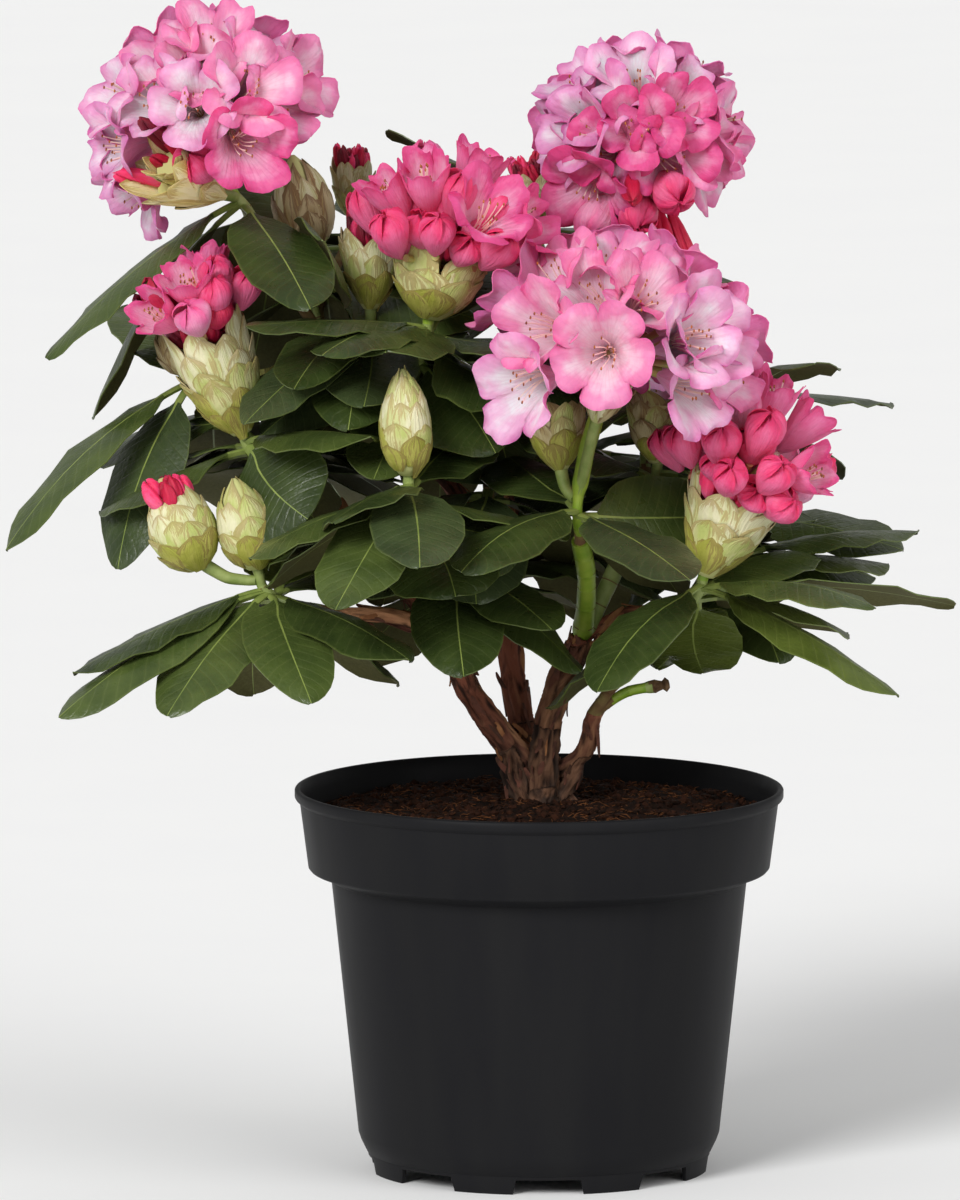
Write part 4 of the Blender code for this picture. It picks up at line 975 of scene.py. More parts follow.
wood = {"voxel": 0.68 * mm, "sides": 16, "step": 1.6 * mm, "relief": 0.75 * mm, "trunkRelief": 2.2 * mm,
        "footFlare": 1.18, "stretch": 0.26, "waver": 0.14, "cut": growth["soilHeight"] - 0.2 * mm,
        "rootCount": 5, "rootReach": 15.5 * mm, "rootRadius": 4.0 * mm, "crownFrom": 13, "crownEnd": 25,
        "flakes": 210, "collarFlakes": 22, "collarReach": 3 * mm, "flakeLength": (6 * mm, 18 * mm),
        "flakeHalf": (0.8 * mm, 1.9 * mm), "flakeLift": (0.2 * mm, 1.9 * mm), "flakeThickness": 0.3 * mm,
        "flakesAbove": 4 * mm, "flakesFrom": 2.6 * mm, "oldUpTo": 70 * mm, "trunkPoints": 24,
        "heartShare": 0.86, "forkRun": 18, "rootTurn": 0.9, "rootWaist": (10.5, 7), "seed": 17}
flakeOutline = ((0.0, 0.45), (0.12, 0.85), (0.35, 1.0), (0.6, 0.9), (0.85, 0.7), (1.0, 0.3))
# Where each bough's foot meets the soil, so that the boughs run down through the burl, in millimetres
boughFeet = {"bough_left": (-6, 2), "bough_middle": (-2, 9), "bough_right": (1, -2),
             "bough_low_right": (7.5, 3)}
woodyLimbs = [name for name in limbs if name not in greenLimbs]


def limbLine(name):
    _, _, startRadius, tipRadius = limbs[name]
    fine = finePath(limbPaths[name], wood["step"])
    share = np.linspace(0, 1, len(fine))
    radii = (startRadius + (tipRadius - startRadius) * share) * mm
    radii *= 1 + (wood["footFlare"] - 1) * (1 - ease(share, 0, 0.22))
    radii *= 0.4 + 0.6 * ease(share, 0, 0.12)  # a blunt start that stays hidden inside what carries it
    knobs = np.array([noise.noise(Vector(place) * 75) for place in fine])
    return fine, radii * (1 + wood["waver"] * knobs)


def trunkLines():
    soilTop = growth["soilHeight"]
    heights = np.linspace(-2, wood["crownEnd"] - 0.5, wood["trunkPoints"])
    share = np.clip(heights / trunkRings[-1][0], 0, 1)
    line = np.stack([(trunkFoot[0] + (trunkCrown[0] - trunkFoot[0]) * share) * mm,
                     (trunkFoot[1] + (trunkCrown[1] - trunkFoot[1]) * share) * mm,
                     soilTop + heights * mm], 1)
    radii = np.interp(heights, *zip(*trunkRings)) * mm
    dome = np.clip((heights - wood["crownFrom"]) / (wood["crownEnd"] - wood["crownFrom"]), 0, 1)
    # The heart is domed, so that the forks show no flat collar
    lines = [(line, radii * wood["heartShare"] * np.sqrt(1 - dome ** 2))]
    for name, (x, y) in boughFeet.items():
        start, way, _ = trunkForks[name]
        foot = np.array([x, y, soilTop / mm - 3]) * mm
        fork = np.array(point(start) + Vector(way).normalized() * wood["forkRun"] * mm)
        middle = (foot + fork) / 2 + np.array([x - trunkFoot[0], y - trunkFoot[1], 0]) * 0.12 * mm
        fine = finePath([foot, middle, fork], wood["step"], 3)
        radius = limbs[name][2] * mm
        share = np.linspace(0, 1, len(fine))
        lines.append((fine, radius * np.interp(share, [0, 0.6, 1], [1.04, 0.96, 0.45])))
    for number in range(wood["rootCount"]):  # low buttresses between them
        angle = number * math.tau / wood["rootCount"] + wood["rootTurn"]
        out = np.array([math.cos(angle), math.sin(angle), 0])
        uneven = 0.86 + 0.12 * math.sin(number * 2.3)
        low = line[0] + out * wood["rootReach"] * uneven - np.array([0, 0, mm])
        waist, neck = (line[at] + out * away * mm for at, away in zip((4, 9), wood["rootWaist"]))
        fine = finePath([low, waist, neck], wood["step"], 3)
        lines.append((fine, np.linspace(wood["rootRadius"] * 0.8, wood["rootRadius"] * 0.7, len(fine))))
    return lines


def pathFrames(lines):  # sample points along all lines, with how far along and two axes square to the line
    samples = []
    for number, (line, radii, age) in enumerate(lines):
        line = np.asarray(line)
        run = 0.0
        ways = np.gradient(line, axis=0)
        ways /= np.linalg.norm(ways, axis=1)[:, None]
        side = np.cross(ways[0], [0.3, 0.9, 0.2])
        for at, (place, way) in enumerate(zip(line, ways)):
            side = side - way * np.dot(side, way)
            side /= np.linalg.norm(side)
            if at:
                run += float(np.linalg.norm(place - line[at - 1]))
            other = np.cross(way, side)
            samples.append((place, way, side.copy(), other, run, number, age, float(radii[at])))
    return samples


def addFlakes(thing, samples):  # thin strips of bark that peel away at one end
    shape = bladeShape("barkFlake", flakeOutline, (-1.0, 0.0, 1.0), 1)
    roll = random.Random(wood["seed"])
    copies = Copies()
    lowest, boughTip = wood["cut"] + wood["flakesAbove"], np.array(point(limbs["bough_right"][1]))
    fitting = [sample for sample in samples if sample[0][2] > lowest and sample[7] > wood["flakesFrom"]]
    collar = [sample for sample in fitting if np.linalg.norm(sample[0] - boughTip) < wood["collarReach"]]
    along, across = shape["along"][:, None], shape["across"][:, None]
    while len(copies.places) < wood["flakes"] + wood["collarFlakes"]:
        onCollar = len(copies.places) >= wood["flakes"]  # a ragged edge where green limbs leave the wood
        choices = collar if onCollar else fitting
        place, way, side, other, _, _, _, radius = choices[roll.randrange(len(choices))]
        turn = roll.uniform(0, math.tau)
        out = side * math.cos(turn) + other * math.sin(turn)
        _, spot, normal, _ = thing.closest_point_on_mesh(Vector(place + out * radius * 1.6))
        length, half = roll.uniform(*wood["flakeLength"]), roll.uniform(*wood["flakeHalf"])
        lift, slant = roll.uniform(*wood["flakeLift"]), roll.uniform(-0.28, 0.28)
        if onCollar or spot.z < wood["cut"] + 16 * mm:
            lift, length = lift * 0.3, length * 0.6
        normal = np.array(normal)
        run = way * (1 if onCollar else roll.choice((-1, 1)))
        run = run - normal * np.dot(run, normal)
        run = run + np.cross(normal, run) * slant
        run /= np.linalg.norm(run)
        wide = np.cross(run, normal)
        raised = lift * along ** 2 + 0.15 * mm - 0.25 * half * across ** 2 - 0.5 * mm * (1 - along) ** 3
        curl = half * 0.25 * np.sin(along * 5 + turn)
        places = np.array(spot) + run * length * (along - 0.3) + normal * raised
        places = places + wide * (shape["places"][:, 0][:, None] * half + curl)
        copies.add(shape, places, slotShift=int(spot.z > wood["cut"] + 22 * mm and roll.random() < 0.4))
    flakes = copies.make("barkFlakes", [flake, paleFlake])
    thicken(flakes, wood["flakeThickness"], [0, 1, 0, 1], [flake, paleFlake])
    settle(smoothed(flakes), "bark", "trunk", *woodyLimbs)


def makeWood():
    trunk = trunkLines()
    thing = tubesOf("woodyBoughs", trunk + [limbLine(name) for name in woodyLimbs], wood["sides"])
    applyModifier(thing, "REMESH", {"mode": "VOXEL", "voxel_size": wood["voxel"]})
    applyModifier(thing, "SMOOTH", {"factor": 0.5, "iterations": 4})
    lines = [(*line, 1.0) for line in trunk]
    lines += [(*limbLine(name), 0.65 if name == "bough_right" else 0.15) for name in woodyLimbs]
    samples = pathFrames(lines)
    tree = KDTree(len(samples))
    for number, sample in enumerate(samples):
        tree.insert(sample[0], number)
    tree.balance()
    mesh = thing.data
    grain, relief, age = [], [], []
    normals = [vert.normal.copy() for vert in mesh.vertices]
    for vert, normal in zip(mesh.vertices, normals):
        place, way, side, other, run, number, old, radius = samples[tree.find(vert.co)[1]]
        away = np.array(vert.co) - place
        further = (run + float(np.dot(away, way))) * wood["stretch"]
        around = Vector((float(np.dot(away, side)), float(np.dot(away, other)), further))
        around += Vector((0, 0, number * 0.37))
        old = min(1, max(0, old, 1 - (vert.co.z - growth["soilHeight"]) / wood["oldUpTo"]))
        strips = noise.noise(around * 560)
        edges = 1 - abs(noise.noise(around * 330 + Vector((5, 3, 1)))) * 3.0
        broad = noise.noise(around * 150 + Vector((1, 7, 2)))
        height = 0.40 * strips + 0.45 * edges + 0.40 * broad
        size = wood["relief"] + (wood["trunkRelief"] - wood["relief"]) * old
        vert.co += normal * size * (height - 0.15) * min(1, radius / (5 * mm))
        grain.append(around)
        relief.append(0.5 + 0.5 * height)
        age.append(old)
    keepValues(mesh, {"grain": grain, "relief": relief, "age": age})
    editWhere(thing, "VERT", lambda vert: True)
    bpy.ops.mesh.bisect(plane_co=(0, 0, wood["cut"]), plane_no=(0, 0, 1), use_fill=True, clear_inner=True)
    deselectAll()
    mesh.materials.append(bark)
    settle(smoothed(thing), "bark", "trunk", *woodyLimbs)
    print("wood made:", len(mesh.polygons), "faces")
    addFlakes(thing, samples)


makeWood()


# Green limbs and the shoots' stems

stems = {"sides": 14, "step": 1.5 * mm, "scarApart": (8 * mm, 14 * mm), "scarHalf": 0.3 * mm,
         "scarRise": 0.12 * mm, "footSwell": 0.22, "tipSwell": 0.16, "waver": 0.06, "brownFoot": 0.24,
         "cutNode": 0.79, "raggedFrom": 0.76, "cutMarks": (0.30, 0.74, 0.80), "cutTones": (2, 0, 1, 3),
         "seed": 11}


def scarred(line, radii, roll):  # the stem with narrow ring scars: points, radii and the scars' places
    lengths = np.concatenate([[0], np.cumsum(np.linalg.norm(np.diff(line, axis=0), axis=1))])
    scars = []
    at = roll.uniform(*stems["scarApart"])
    while at < lengths[-1] - 3 * mm:
        scars.append(at)
        at += roll.uniform(*stems["scarApart"])
    marks = [mark for mark in lengths if all(abs(mark - scar) > 2.2 * stems["scarHalf"] for scar in scars)]
    marks += [scar + side * stems["scarHalf"] for scar in scars for side in (-2, -1, 1, 2)]
    marks = np.sort(np.array(marks))
    fine = np.stack([np.interp(marks, lengths, line[:, axis]) for axis in range(3)], 1)
    near = np.array([min([abs(mark - scar) for scar in scars], default=1) for mark in marks])
    wide = np.interp(marks, lengths, radii) + stems["scarRise"] * (near < 1.5 * stems["scarHalf"])
    ends = [np.array([np.interp(scar, lengths, line[:, axis]) for axis in range(3)]) for scar in scars]
    ways = [np.array([np.interp(scar + mm, lengths, line[:, axis]) for axis in range(3)]) - end
            for scar, end in zip(scars, ends)]
    return fine, wide, [(Vector(end), Vector(way).normalized()) for end, way in zip(ends, ways)]


def makeStems():
    roll = random.Random(stems["seed"])
    lines = []
    for name, tone in zip(greenLimbs, (0, 1, 0)):
        fine, radii = limbLine(name)
        if name == "limb_cut":  # swollen at its last node and ragged beyond it
            share = np.linspace(0, 1, len(fine))
            ragged = np.array([noise.noise(Vector(place) * 700) for place in fine])
            ragged = ragged * ease(share, stems["raggedFrom"], 0.9)
            swollen = np.exp(-((share - stems["cutNode"]) / 0.05) ** 2)
            radii = radii * (1 + 0.35 * swollen + 0.8 * ragged)
        lines.append((fine, radii, tone))
    for name, path in stemPaths.items():
        _, way, foot = openStarts[name]
        fine = finePath([foot] + path, stems["step"], 4)
        share = np.linspace(0, 1, len(fine))
        radii = growth["stemRadius"] + (growth["stemTipRadius"] - growth["stemRadius"]) * share
        nearFoot, nearTip = 1 - ease(share, 0, 0.12), ease(share, 0.86, 1.0)
        radii = radii * (1 + stems["footSwell"] * nearFoot + stems["tipSwell"] * nearTip)
        knobs = np.array([noise.noise(Vector(place) * 110) for place in fine])
        tone = 0 if name == "leaves_mid_right" else 2 if name in innerShoots else 1
        lines.append((fine, radii * (1 + stems["waver"] * knobs), tone))
    pieces = []
    for number, (line, radii, tone) in enumerate(lines):
        line, radii, scars = scarred(np.asarray(line), radii, roll)
        piece = tubesOf("stem", [(line, radii)], stems["sides"], [brightStem, dullStem, brownStem, cutWood])
        start, end = Vector(line[0]), Vector(line[-1])
        for face in piece.data.polygons:
            face.material_index = tone
            for scar, way in scars:
                away = face.center - scar
                onRing = abs(away.dot(way)) < stems["scarHalf"] * 0.6 and away.length < 8 * mm
                if onRing and away.normalized().dot(Vector((scar.x, scar.z, 0.3)).normalized()) > -0.75:
                    face.material_index = 2
            share = (face.center - start).dot(end - start) / (end - start).length_squared
            onShoot = number >= len(greenLimbs)
            if onShoot and share < stems["brownFoot"] + 0.05 * noise.noise(face.center * 400):
                face.material_index = 2
            if number == greenLimbs.index("limb_cut"):  # brown foot, green run, dry end
                band = sum(share >= mark for mark in stems["cutMarks"])
                face.material_index = stems["cutTones"][band]
        pieces.append(piece)
    deselectAll()
    for piece in pieces:
        piece.select_set(True)
    bpy.context.view_layer.objects.active = pieces[0]
    bpy.ops.object.join()
    thing = bpy.context.object
    thing.name = thing.data.name = "greenStems"
    settle(smoothed(thing, 50), "green_stem", *greenLimbs, *shoots)


makeStems()
print("stems made")


# Leaves: one blade pulled out station by station, then bent and folded to each place

blade = {"outline": ((0.0, 0.085), (0.06, 0.075), (0.115, 0.08), (0.135, 0.17), (0.17, 0.40), (0.22, 0.64),
                     (0.29, 0.83), (0.38, 0.94), (0.50, 1.0), (0.62, 0.99), (0.73, 0.92), (0.82, 0.79),
                     (0.89, 0.62), (0.95, 0.40), (0.985, 0.20), (1.0, 0.05)),
         "strips": (-1.0, -0.55, -0.05, 0.05, 0.55, 1.0), "halfWidth": 22.0 * mm, "usualLength": 88 * mm,
         "bend": (16, 40), "thickness": 0.55 * mm, "stalkThickness": 2.3 * mm, "fold": (0.06, 0.34),
         "groove": 0.5 * mm, "wave": 1.3 * mm, "twist": 12, "sweep": 5 * mm, "widthSpread": 0.09,
         "ribHalf": 0.6 * mm, "stalkDrop": 0.8 * mm, "stalkEnd": 0.115, "lowBelow": 0.31, "lowFront": 0.03,
         "lowTones": (1, 1, 1, 2, 0), "highTones": (0, 0, 1, 1, 3), "innerTones": (0, 3, 3, 0), "seed": 21}


def bladePlaces(shape, leaf, roll):
    root, bearing, fall, length, turned, _ = leaf
    chord, up, side = (np.array(way) for way in leafAxes(bearing, fall, turned))
    root = np.array(root) + chord * growth["rootOut"]
    bend = math.radians(roll.uniform(*blade["bend"]))
    bow = (length - growth["rootOut"]) / (2 * math.sin(bend / 2))
    widest = blade["halfWidth"] * math.sqrt(blade["usualLength"] / length)
    widest *= 1 + roll.uniform(-blade["widthSpread"], blade["widthSpread"])
    along, across = shape["along"][:, None], shape["across"][:, None]
    arc = bend * (along - 0.5)
    rise = up * bow * (np.cos(arc) - math.cos(bend / 2))
    places = root + chord * bow * (np.sin(arc) + math.sin(bend / 2)) + rise
    normal = up * np.cos(arc) + chord * np.sin(arc)
    inBlade = ease(along, 0.12, 0.3)
    twist = math.radians(roll.uniform(-blade["twist"], blade["twist"])) * inBlade * (along - 0.3)
    sideways = side * np.cos(twist) + normal * np.sin(twist)
    normal = normal * np.cos(twist) - side * np.sin(twist)
    onRib = np.abs(across) < 0.1
    rib = np.sign(across) * blade["ribHalf"] * (1 - 0.7 * along)
    half = np.where(onRib, rib, shape["places"][:, 0][:, None] * widest)
    fold = roll.uniform(*blade["fold"])
    drop = -fold * widest * shape["width"][:, None] * np.abs(across) ** 1.7 * inBlade
    drop = drop - blade["stalkDrop"] * across ** 2 * (1 - inBlade)
    groove = -blade["groove"] * onRib * inBlade * (1 - ease(along, 0.8, 1.0))
    phase, pace = roll.uniform(0, math.tau), roll.uniform(2.0, 4.2)
    ripple = np.sin(pace * along * math.tau + phase + across * 1.3)
    wave = blade["wave"] * ripple * np.abs(across) ** 2 * inBlade
    sweep = roll.uniform(-1, 1) * blade["sweep"] * np.sin(np.clip(along, 0, 1) * math.pi)
    return places + sideways * (half + sweep * inBlade) + normal * (drop + groove + wave)


# Where the photograph shows close foliage, as boxes of x and of height seen from the camera, in metres
closeFoliage = ((-0.134, 0.010, 0.274, 0.484), (0.010, 0.120, 0.300, 0.380),
                (-0.185, -0.130, 0.290, 0.345), (-0.084, 0.014, 0.264, 0.310))
seenDrop = 0.133  # the camera looks down this much over each metre of depth
older = {"perShoot": 14, "tries": 110, "fall": (4, 76), "length": (50, 88), "roll": 26, "down": (0.06, 0.85),
         "seed": 31}
# Leaves given in the shoots' table that stand otherwise here, so that the buds behind their tips show
leafTurns = {("leaves_back_top", -148): (-158, -33, 92, 0), ("leaves_mid_left", -143): (170, 24, 78, 0),
             ("leaves_mid_left", -78): (-56, 30, 60, 62), ("leaves_upper_middle", -108): (-108, 2, 62, 0),
             ("leaves_centre", -117): (-130, 12, 56, 15), ("leaves_low_right", 106): (106, 33, 80, 180),
             ("leaves_low_right", 86): (86, 36, 75, 180), ("leaves_inner_left", -114): (-164, 6, 60, 0)}


def inFoliage(place):
    height = place[2] + seenDrop * place[1]
    return any(low < place[0] < high and bottom < height < top for low, high, bottom, top in closeFoliage)


def roughLeaf(leaf):
    root, bearing, fall, length, turned, _ = leaf
    chord, up, side = leafAxes(bearing, fall, turned)
    bend = math.radians(sum(blade["bend"]) / 2)
    bow = length / (2 * math.sin(bend / 2))
    widest = blade["halfWidth"] * math.sqrt(blade["usualLength"] / length)
    places = []
    for share, width in ((0.13, 0.08), (0.42, 0.95), (0.78, 0.9)):
        arc = bend * (share - 0.5)
        middle = root + chord * bow * (math.sin(arc) + math.sin(bend / 2))
        middle += up * bow * (math.cos(arc) - math.cos(bend / 2))
        normal = up * math.cos(arc) + chord * math.sin(arc)
        half = width * widest
        places += [middle + side * half - normal * half * 0.2, middle + normal * mm,
                   middle - side * half - normal * half * 0.2, middle - normal * 1.2 * mm]
    faces = [(row + at, row + (at + 1) % 4, row + 4 + (at + 1) % 4, row + 4 + at)
             for row in (0, 4) for at in range(4)]
    faces += [(8 + at, 8 + (at + 1) % 4, 12) for at in range(4)]
    return places + [root + chord * length], faces


def roughTree(places, faces):
    return BVHTree.FromPolygons([Vector(place) / mm for place in places], faces)


def boxOf(places):
    spots = np.array([tuple(place) for place in places])
    return spots.min(0), spots.max(0)


def addOlderLeaves():
    standing = []

    def stands(places, faces):  # true, and kept, where it touches nothing that stands already
        box, tree = boxOf(places), roughTree(places, faces)
        for (low, high), other in standing:
            if (box[0] < high).all() and (low < box[1]).all() and tree.overlap(other):
                return False
        standing.append((box, tree))
        return True

    for name in shoots:
        for at, leaf in enumerate(leaves[name]):
            if (name, leaf[1]) in leafTurns:
                bearing, fall, length, turned = leafTurns[name, leaf[1]]
                leaves[name][at] = leaf = (leaf[0], bearing, fall, length * mm, turned, True)
            places, faces = roughLeaf(leaf)
            standing.append((boxOf(places), roughTree(places, faces)))
    for name, node in nodes.items():
        if name.startswith(("bud_", "flowers_", "limb_", "bough_")):
            places = [vert.co for vert in node.data.vertices]
            faces = [tuple(face.vertices) for face in node.data.polygons]
            standing.append((boxOf(places), roughTree(places, faces)))
    roll = random.Random(older["seed"])
    added = 0
    for name, leaf in missing:  # leaves that the solids had no room for: placed as near as they stand clear
        for turn, dip in leafNudges:
            tried = (leaf[0], leaf[1] + turn, leaf[2] + dip, *leaf[3:])
            if stands(*roughLeaf(tried)):
                leaves[name].append(tried)
                added += 1
                break
    for name in shoots:
        path = stemPaths[name]
        length = sum((end - start).length for start, end in zip(path, path[1:]))
        bearing = roll.uniform(0, 360)
        count = 0
        for _ in range(older["tries"]):
            bearing = (bearing + goldenTurn) % 360
            leaf = (backAlong(path, roll.uniform(*older["down"]) * length), bearing,
                    roll.uniform(*older["fall"]), roll.uniform(*older["length"]) * mm,
                    roll.uniform(-older["roll"], older["roll"]), False)
            places, faces = roughLeaf(leaf)
            if count < older["perShoot"] and all(inFoliage(place) for place in places[4:]):
                if stands(places, faces):
                    leaves[name].append(leaf)
                    count += 1
        added += count
    print("older leaves added:", added)


def makeLeaves():
    shape = bladeShape("leafBlade", blade["outline"], blade["strips"], -1, blade["stalkEnd"])
    roll = random.Random(blade["seed"])
    copies = Copies()
    thick = []
    for name in shoots:
        for leaf in leaves[name]:
            places = bladePlaces(shape, leaf, roll)
            low = leaf[0].z < blade["lowBelow"] and leaf[0].y < blade["lowFront"]
            tone = roll.choice(blade["lowTones" if low else "highTones"])
            if name in innerShoots:
                tone = roll.choice(blade["innerTones"])
            copies.add(shape, places, slotMap={0: tone, 1: 4}, spot=spotValues(shape, roll))
            thinner = 1 - blade["thickness"] / blade["stalkThickness"]
            thick.append(1 - ease(shape["along"], 0.10, 0.16) * thinner)
    finishes = leafTones + [leafRib, leafUnder]
    thing = copies.make("leafBlades", finishes)
    group = thing.vertex_groups.new(name="thick")
    for index, weight in enumerate(np.concatenate(thick)):
        group.add([index], float(weight), "REPLACE")
    thicken(thing, blade["stalkThickness"], [0, 1, 2, 3, 4, 5, 5, 5, 5, 4], finishes,
            vertex_group="thick", thickness_vertex_group=0.0)
    thing.vertex_groups.clear()
    settle(smoothed(thing), "leaf", *shoots)
    print("leaves made:", len(thing.data.polygons), "faces")


addOlderLeaves()
makeLeaves()


# Open flowers: a funnel drawn out ring by ring, slit between its five lobes, then shaped for each place

corolla = {"columns": 70, "rings": ((0.09, 0.40), (0.13, 0.47), (0.20, 0.56), (0.30, 0.66), (0.44, 0.75),
                                    (0.61, 0.83), (0.79, 0.89), (0.95, 0.93), (1.08, 0.95), (1.18, 0.955)),
           "cupRadii": (0.10, 0.28, 0.46, 0.60, 0.69, 0.74, 0.76, 0.77, 0.79, 0.84), "cupStart": 0.10,
           "shutColumns": 30, "shutRadii": (0.14, 0.38, 0.62, 0.82, 0.94, 0.94, 0.80, 0.54, 0.24, 0.05),
           "slitFrom": 3, "notch": 0.26, "dent": 0.06, "overlap": 0.30, "round": 0.34, "step": 1.7 * mm,
           "ruffle": 2.6 * mm, "crimp": 1.2 * mm, "tilt": 4.2 * mm, "size": 0.82, "thickness": 0.35 * mm,
           "usualRadius": 26 * mm, "extraTries": 60, "extraTurn": 60, "extraApart": 24, "extraReach": 0.90,
           "lean": 6, "toLight": 0.38, "stalkShare": 0.42, "foldedApart": 17, "foldedUpright": 0.55,
           "pleatedBelow": 6.6 * mm, "seed": 41}


def modelFunnel(name, columns, rings):
    deselectAll()
    bpy.ops.mesh.primitive_circle_add(vertices=columns, radius=rings[0][0], location=(0, 0, 0))
    thing = bpy.context.object
    for vert in thing.data.vertices:
        vert.co.z = rings[0][1]
    editWhere(thing, "VERT", lambda vert: True)
    for (nearRadius, near), (farRadius, far) in zip(rings, rings[1:]):
        bpy.ops.mesh.extrude_region_move(TRANSFORM_OT_translate={"value": (0, 0, far - near)})
        bpy.ops.transform.resize(value=(farRadius / nearRadius, farRadius / nearRadius, 1),
                                 center_override=(0, 0, far))
    bpy.ops.object.mode_set(mode="OBJECT")
    thing.name = name
    return thing


def lobeTurn(place):  # the angle of a point, counted from the middle of the first lobe
    return math.degrees(math.atan2(place[1], place[0])) - 90


def ringOf(place, rings):
    return min(range(len(rings)), key=lambda at: abs(math.hypot(place[0], place[1]) - rings[at][0])
               + abs(place[2] - rings[at][1]))


def corollaShape(columns):
    rings = corolla["rings"]
    thing = modelFunnel("corolla", columns, rings)
    mesh = thing.data

    def onSlit(edge):
        ends = [mesh.vertices[at].co for at in edge.vertices]
        offSlit = [(lobeTurn(end) + 36.5) % 72 for end in ends]
        return max(offSlit) < 1 and min(ringOf(end, rings) for end in ends) >= corolla["slitFrom"]

    editWhere(thing, "EDGE", onSlit)
    bpy.ops.mesh.edge_split(type="EDGE")
    bpy.ops.object.mode_set(mode="OBJECT")
    lobes = np.zeros(len(mesh.vertices))
    for face in mesh.polygons:
        lobe = round(lobeTurn(face.center) / 72) % 5
        for at in face.vertices:
            lobes[at] = lobe
    shape = facing(shapeOf(thing), 1)
    places = shape["places"]
    turns = np.degrees(np.arctan2(places[:, 1], places[:, 0])) - 90
    shape["lobe"] = lobes.astype(int)
    shape["across"] = ((turns - 72 * lobes + 180) % 360 - 180) / 36
    shape["along"] = np.array([ringOf(place, rings) for place in places]) / (len(rings) - 1)
    return shape


def corollaPlaces(shape, radius, reach, roll, cup=0.0, shut=0.0):  # cup is 0 for wide open, 1 for half open
    across, along, lobe = shape["across"], shape["along"], shape["lobe"]
    marks = np.linspace(0, 1, len(corolla["rings"]))
    size = radius / corolla["usualRadius"]

    def perLobe(low, high):
        return np.array([roll.uniform(low, high) for _ in range(5)])[lobe]

    opened, outer, rim = ease(along, 0.40, 1.0), ease(along, 0.6, 1.0), ease(along, 0.78, 1.0)
    dent = corolla["dent"] * (1 - shut) * np.exp(-(across / 0.15) ** 2) * rim
    shorter = corolla["notch"] * np.abs(across) ** 2.4 * opened + dent
    cut = along * (1 - shorter * (1 - 0.8 * shut)) * (1 + perLobe(-0.08, 0.0) * opened * (1 - shut))
    narrow = np.array(corolla["cupRadii"]) * (1 - shut) + np.array(corolla["shutRadii"]) * shut
    wide = np.interp(cut, marks, [ring[0] for ring in corolla["rings"]]) * (1 - cup)
    wide = (wide + np.interp(cut, marks, narrow) * cup) * radius * (1 + perLobe(-0.07, 0.07) * opened)
    lowest, highest = corolla["rings"][0][1], corolla["rings"][-1][1]
    rise = (np.interp(cut, marks, [ring[1] for ring in corolla["rings"]]) - lowest) / (highest - lowest)
    start = lowest + corolla["cupStart"] * cup  # a half open flower is shorter and rounder
    high = (start + (highest - start) * rise) * reach
    phase = perLobe(0, math.tau)
    ruffle = np.sin(across * math.pi * perLobe(1.0, 1.9) + phase) * corolla["ruffle"] * size * outer
    crimp = np.sin(across * math.pi * perLobe(2.2, 3.2) + along * 9 + phase * 2)
    crimp = crimp * corolla["crimp"] * size * outer
    recurve = perLobe(0.2, 1.6) * 2.6 * mm * size * rim * (1 - across ** 2) * (1 - cup)
    high = high + (perLobe(-1, 1) * corolla["tilt"] * size + across * corolla["step"]) * opened
    high = high + ruffle + crimp - recurve + 1.8 * mm * size * opened * np.cos(across * math.pi)
    wide = wide + cup * ((ruffle + crimp) * (0.5 - 0.35 * shut) + across * corolla["step"] * opened)
    spread = 1 + corolla["overlap"] * (1 + shut) * opened - corolla["round"] * outer * across ** 2
    angle = np.radians(90 + 72 * lobe + 36 * across * spread)
    return np.stack([wide * np.cos(angle), wide * np.sin(angle), high], 1)


# Shut flowers: a long drop pleated by its five folded petals, closed at its blunt tip

shutFlower = {"columns": 40, "rings": ((0.16, 0.46), (0.42, 0.51), (0.68, 0.58), (0.87, 0.65), (0.97, 0.72),
                                       (1.0, 0.79), (0.95, 0.86), (0.83, 0.92), (0.62, 0.965), (0.34, 0.99),
                                       (0.07, 0.992)),
              "crease": 0.44, "pleat": 0.13, "step": 0.08, "twist": 34, "tipSpread": 3.0 * mm,
              "widthSpread": 0.12, "lean": 2.5, "flat": (0.75, 1.0)}


def shutShape():
    thing = modelFunnel("shutFlower", shutFlower["columns"], shutFlower["rings"])
    for end in (0, -1):
        height = shutFlower["rings"][end][1]
        editWhere(thing, "VERT", lambda vert: abs(vert.co.z - height) < 1e-4)
        bpy.ops.mesh.edge_face_add()
        bpy.ops.object.mode_set(mode="OBJECT")
    outward(thing)
    shape = shapeOf(thing)
    places = shape["places"]
    shape["turn"] = np.degrees(np.arctan2(places[:, 1], places[:, 0]))
    low, high = shutFlower["rings"][0][1], shutFlower["rings"][-1][1]
    shape["along"] = (places[:, 2] - low) / (high - low)
    return shape


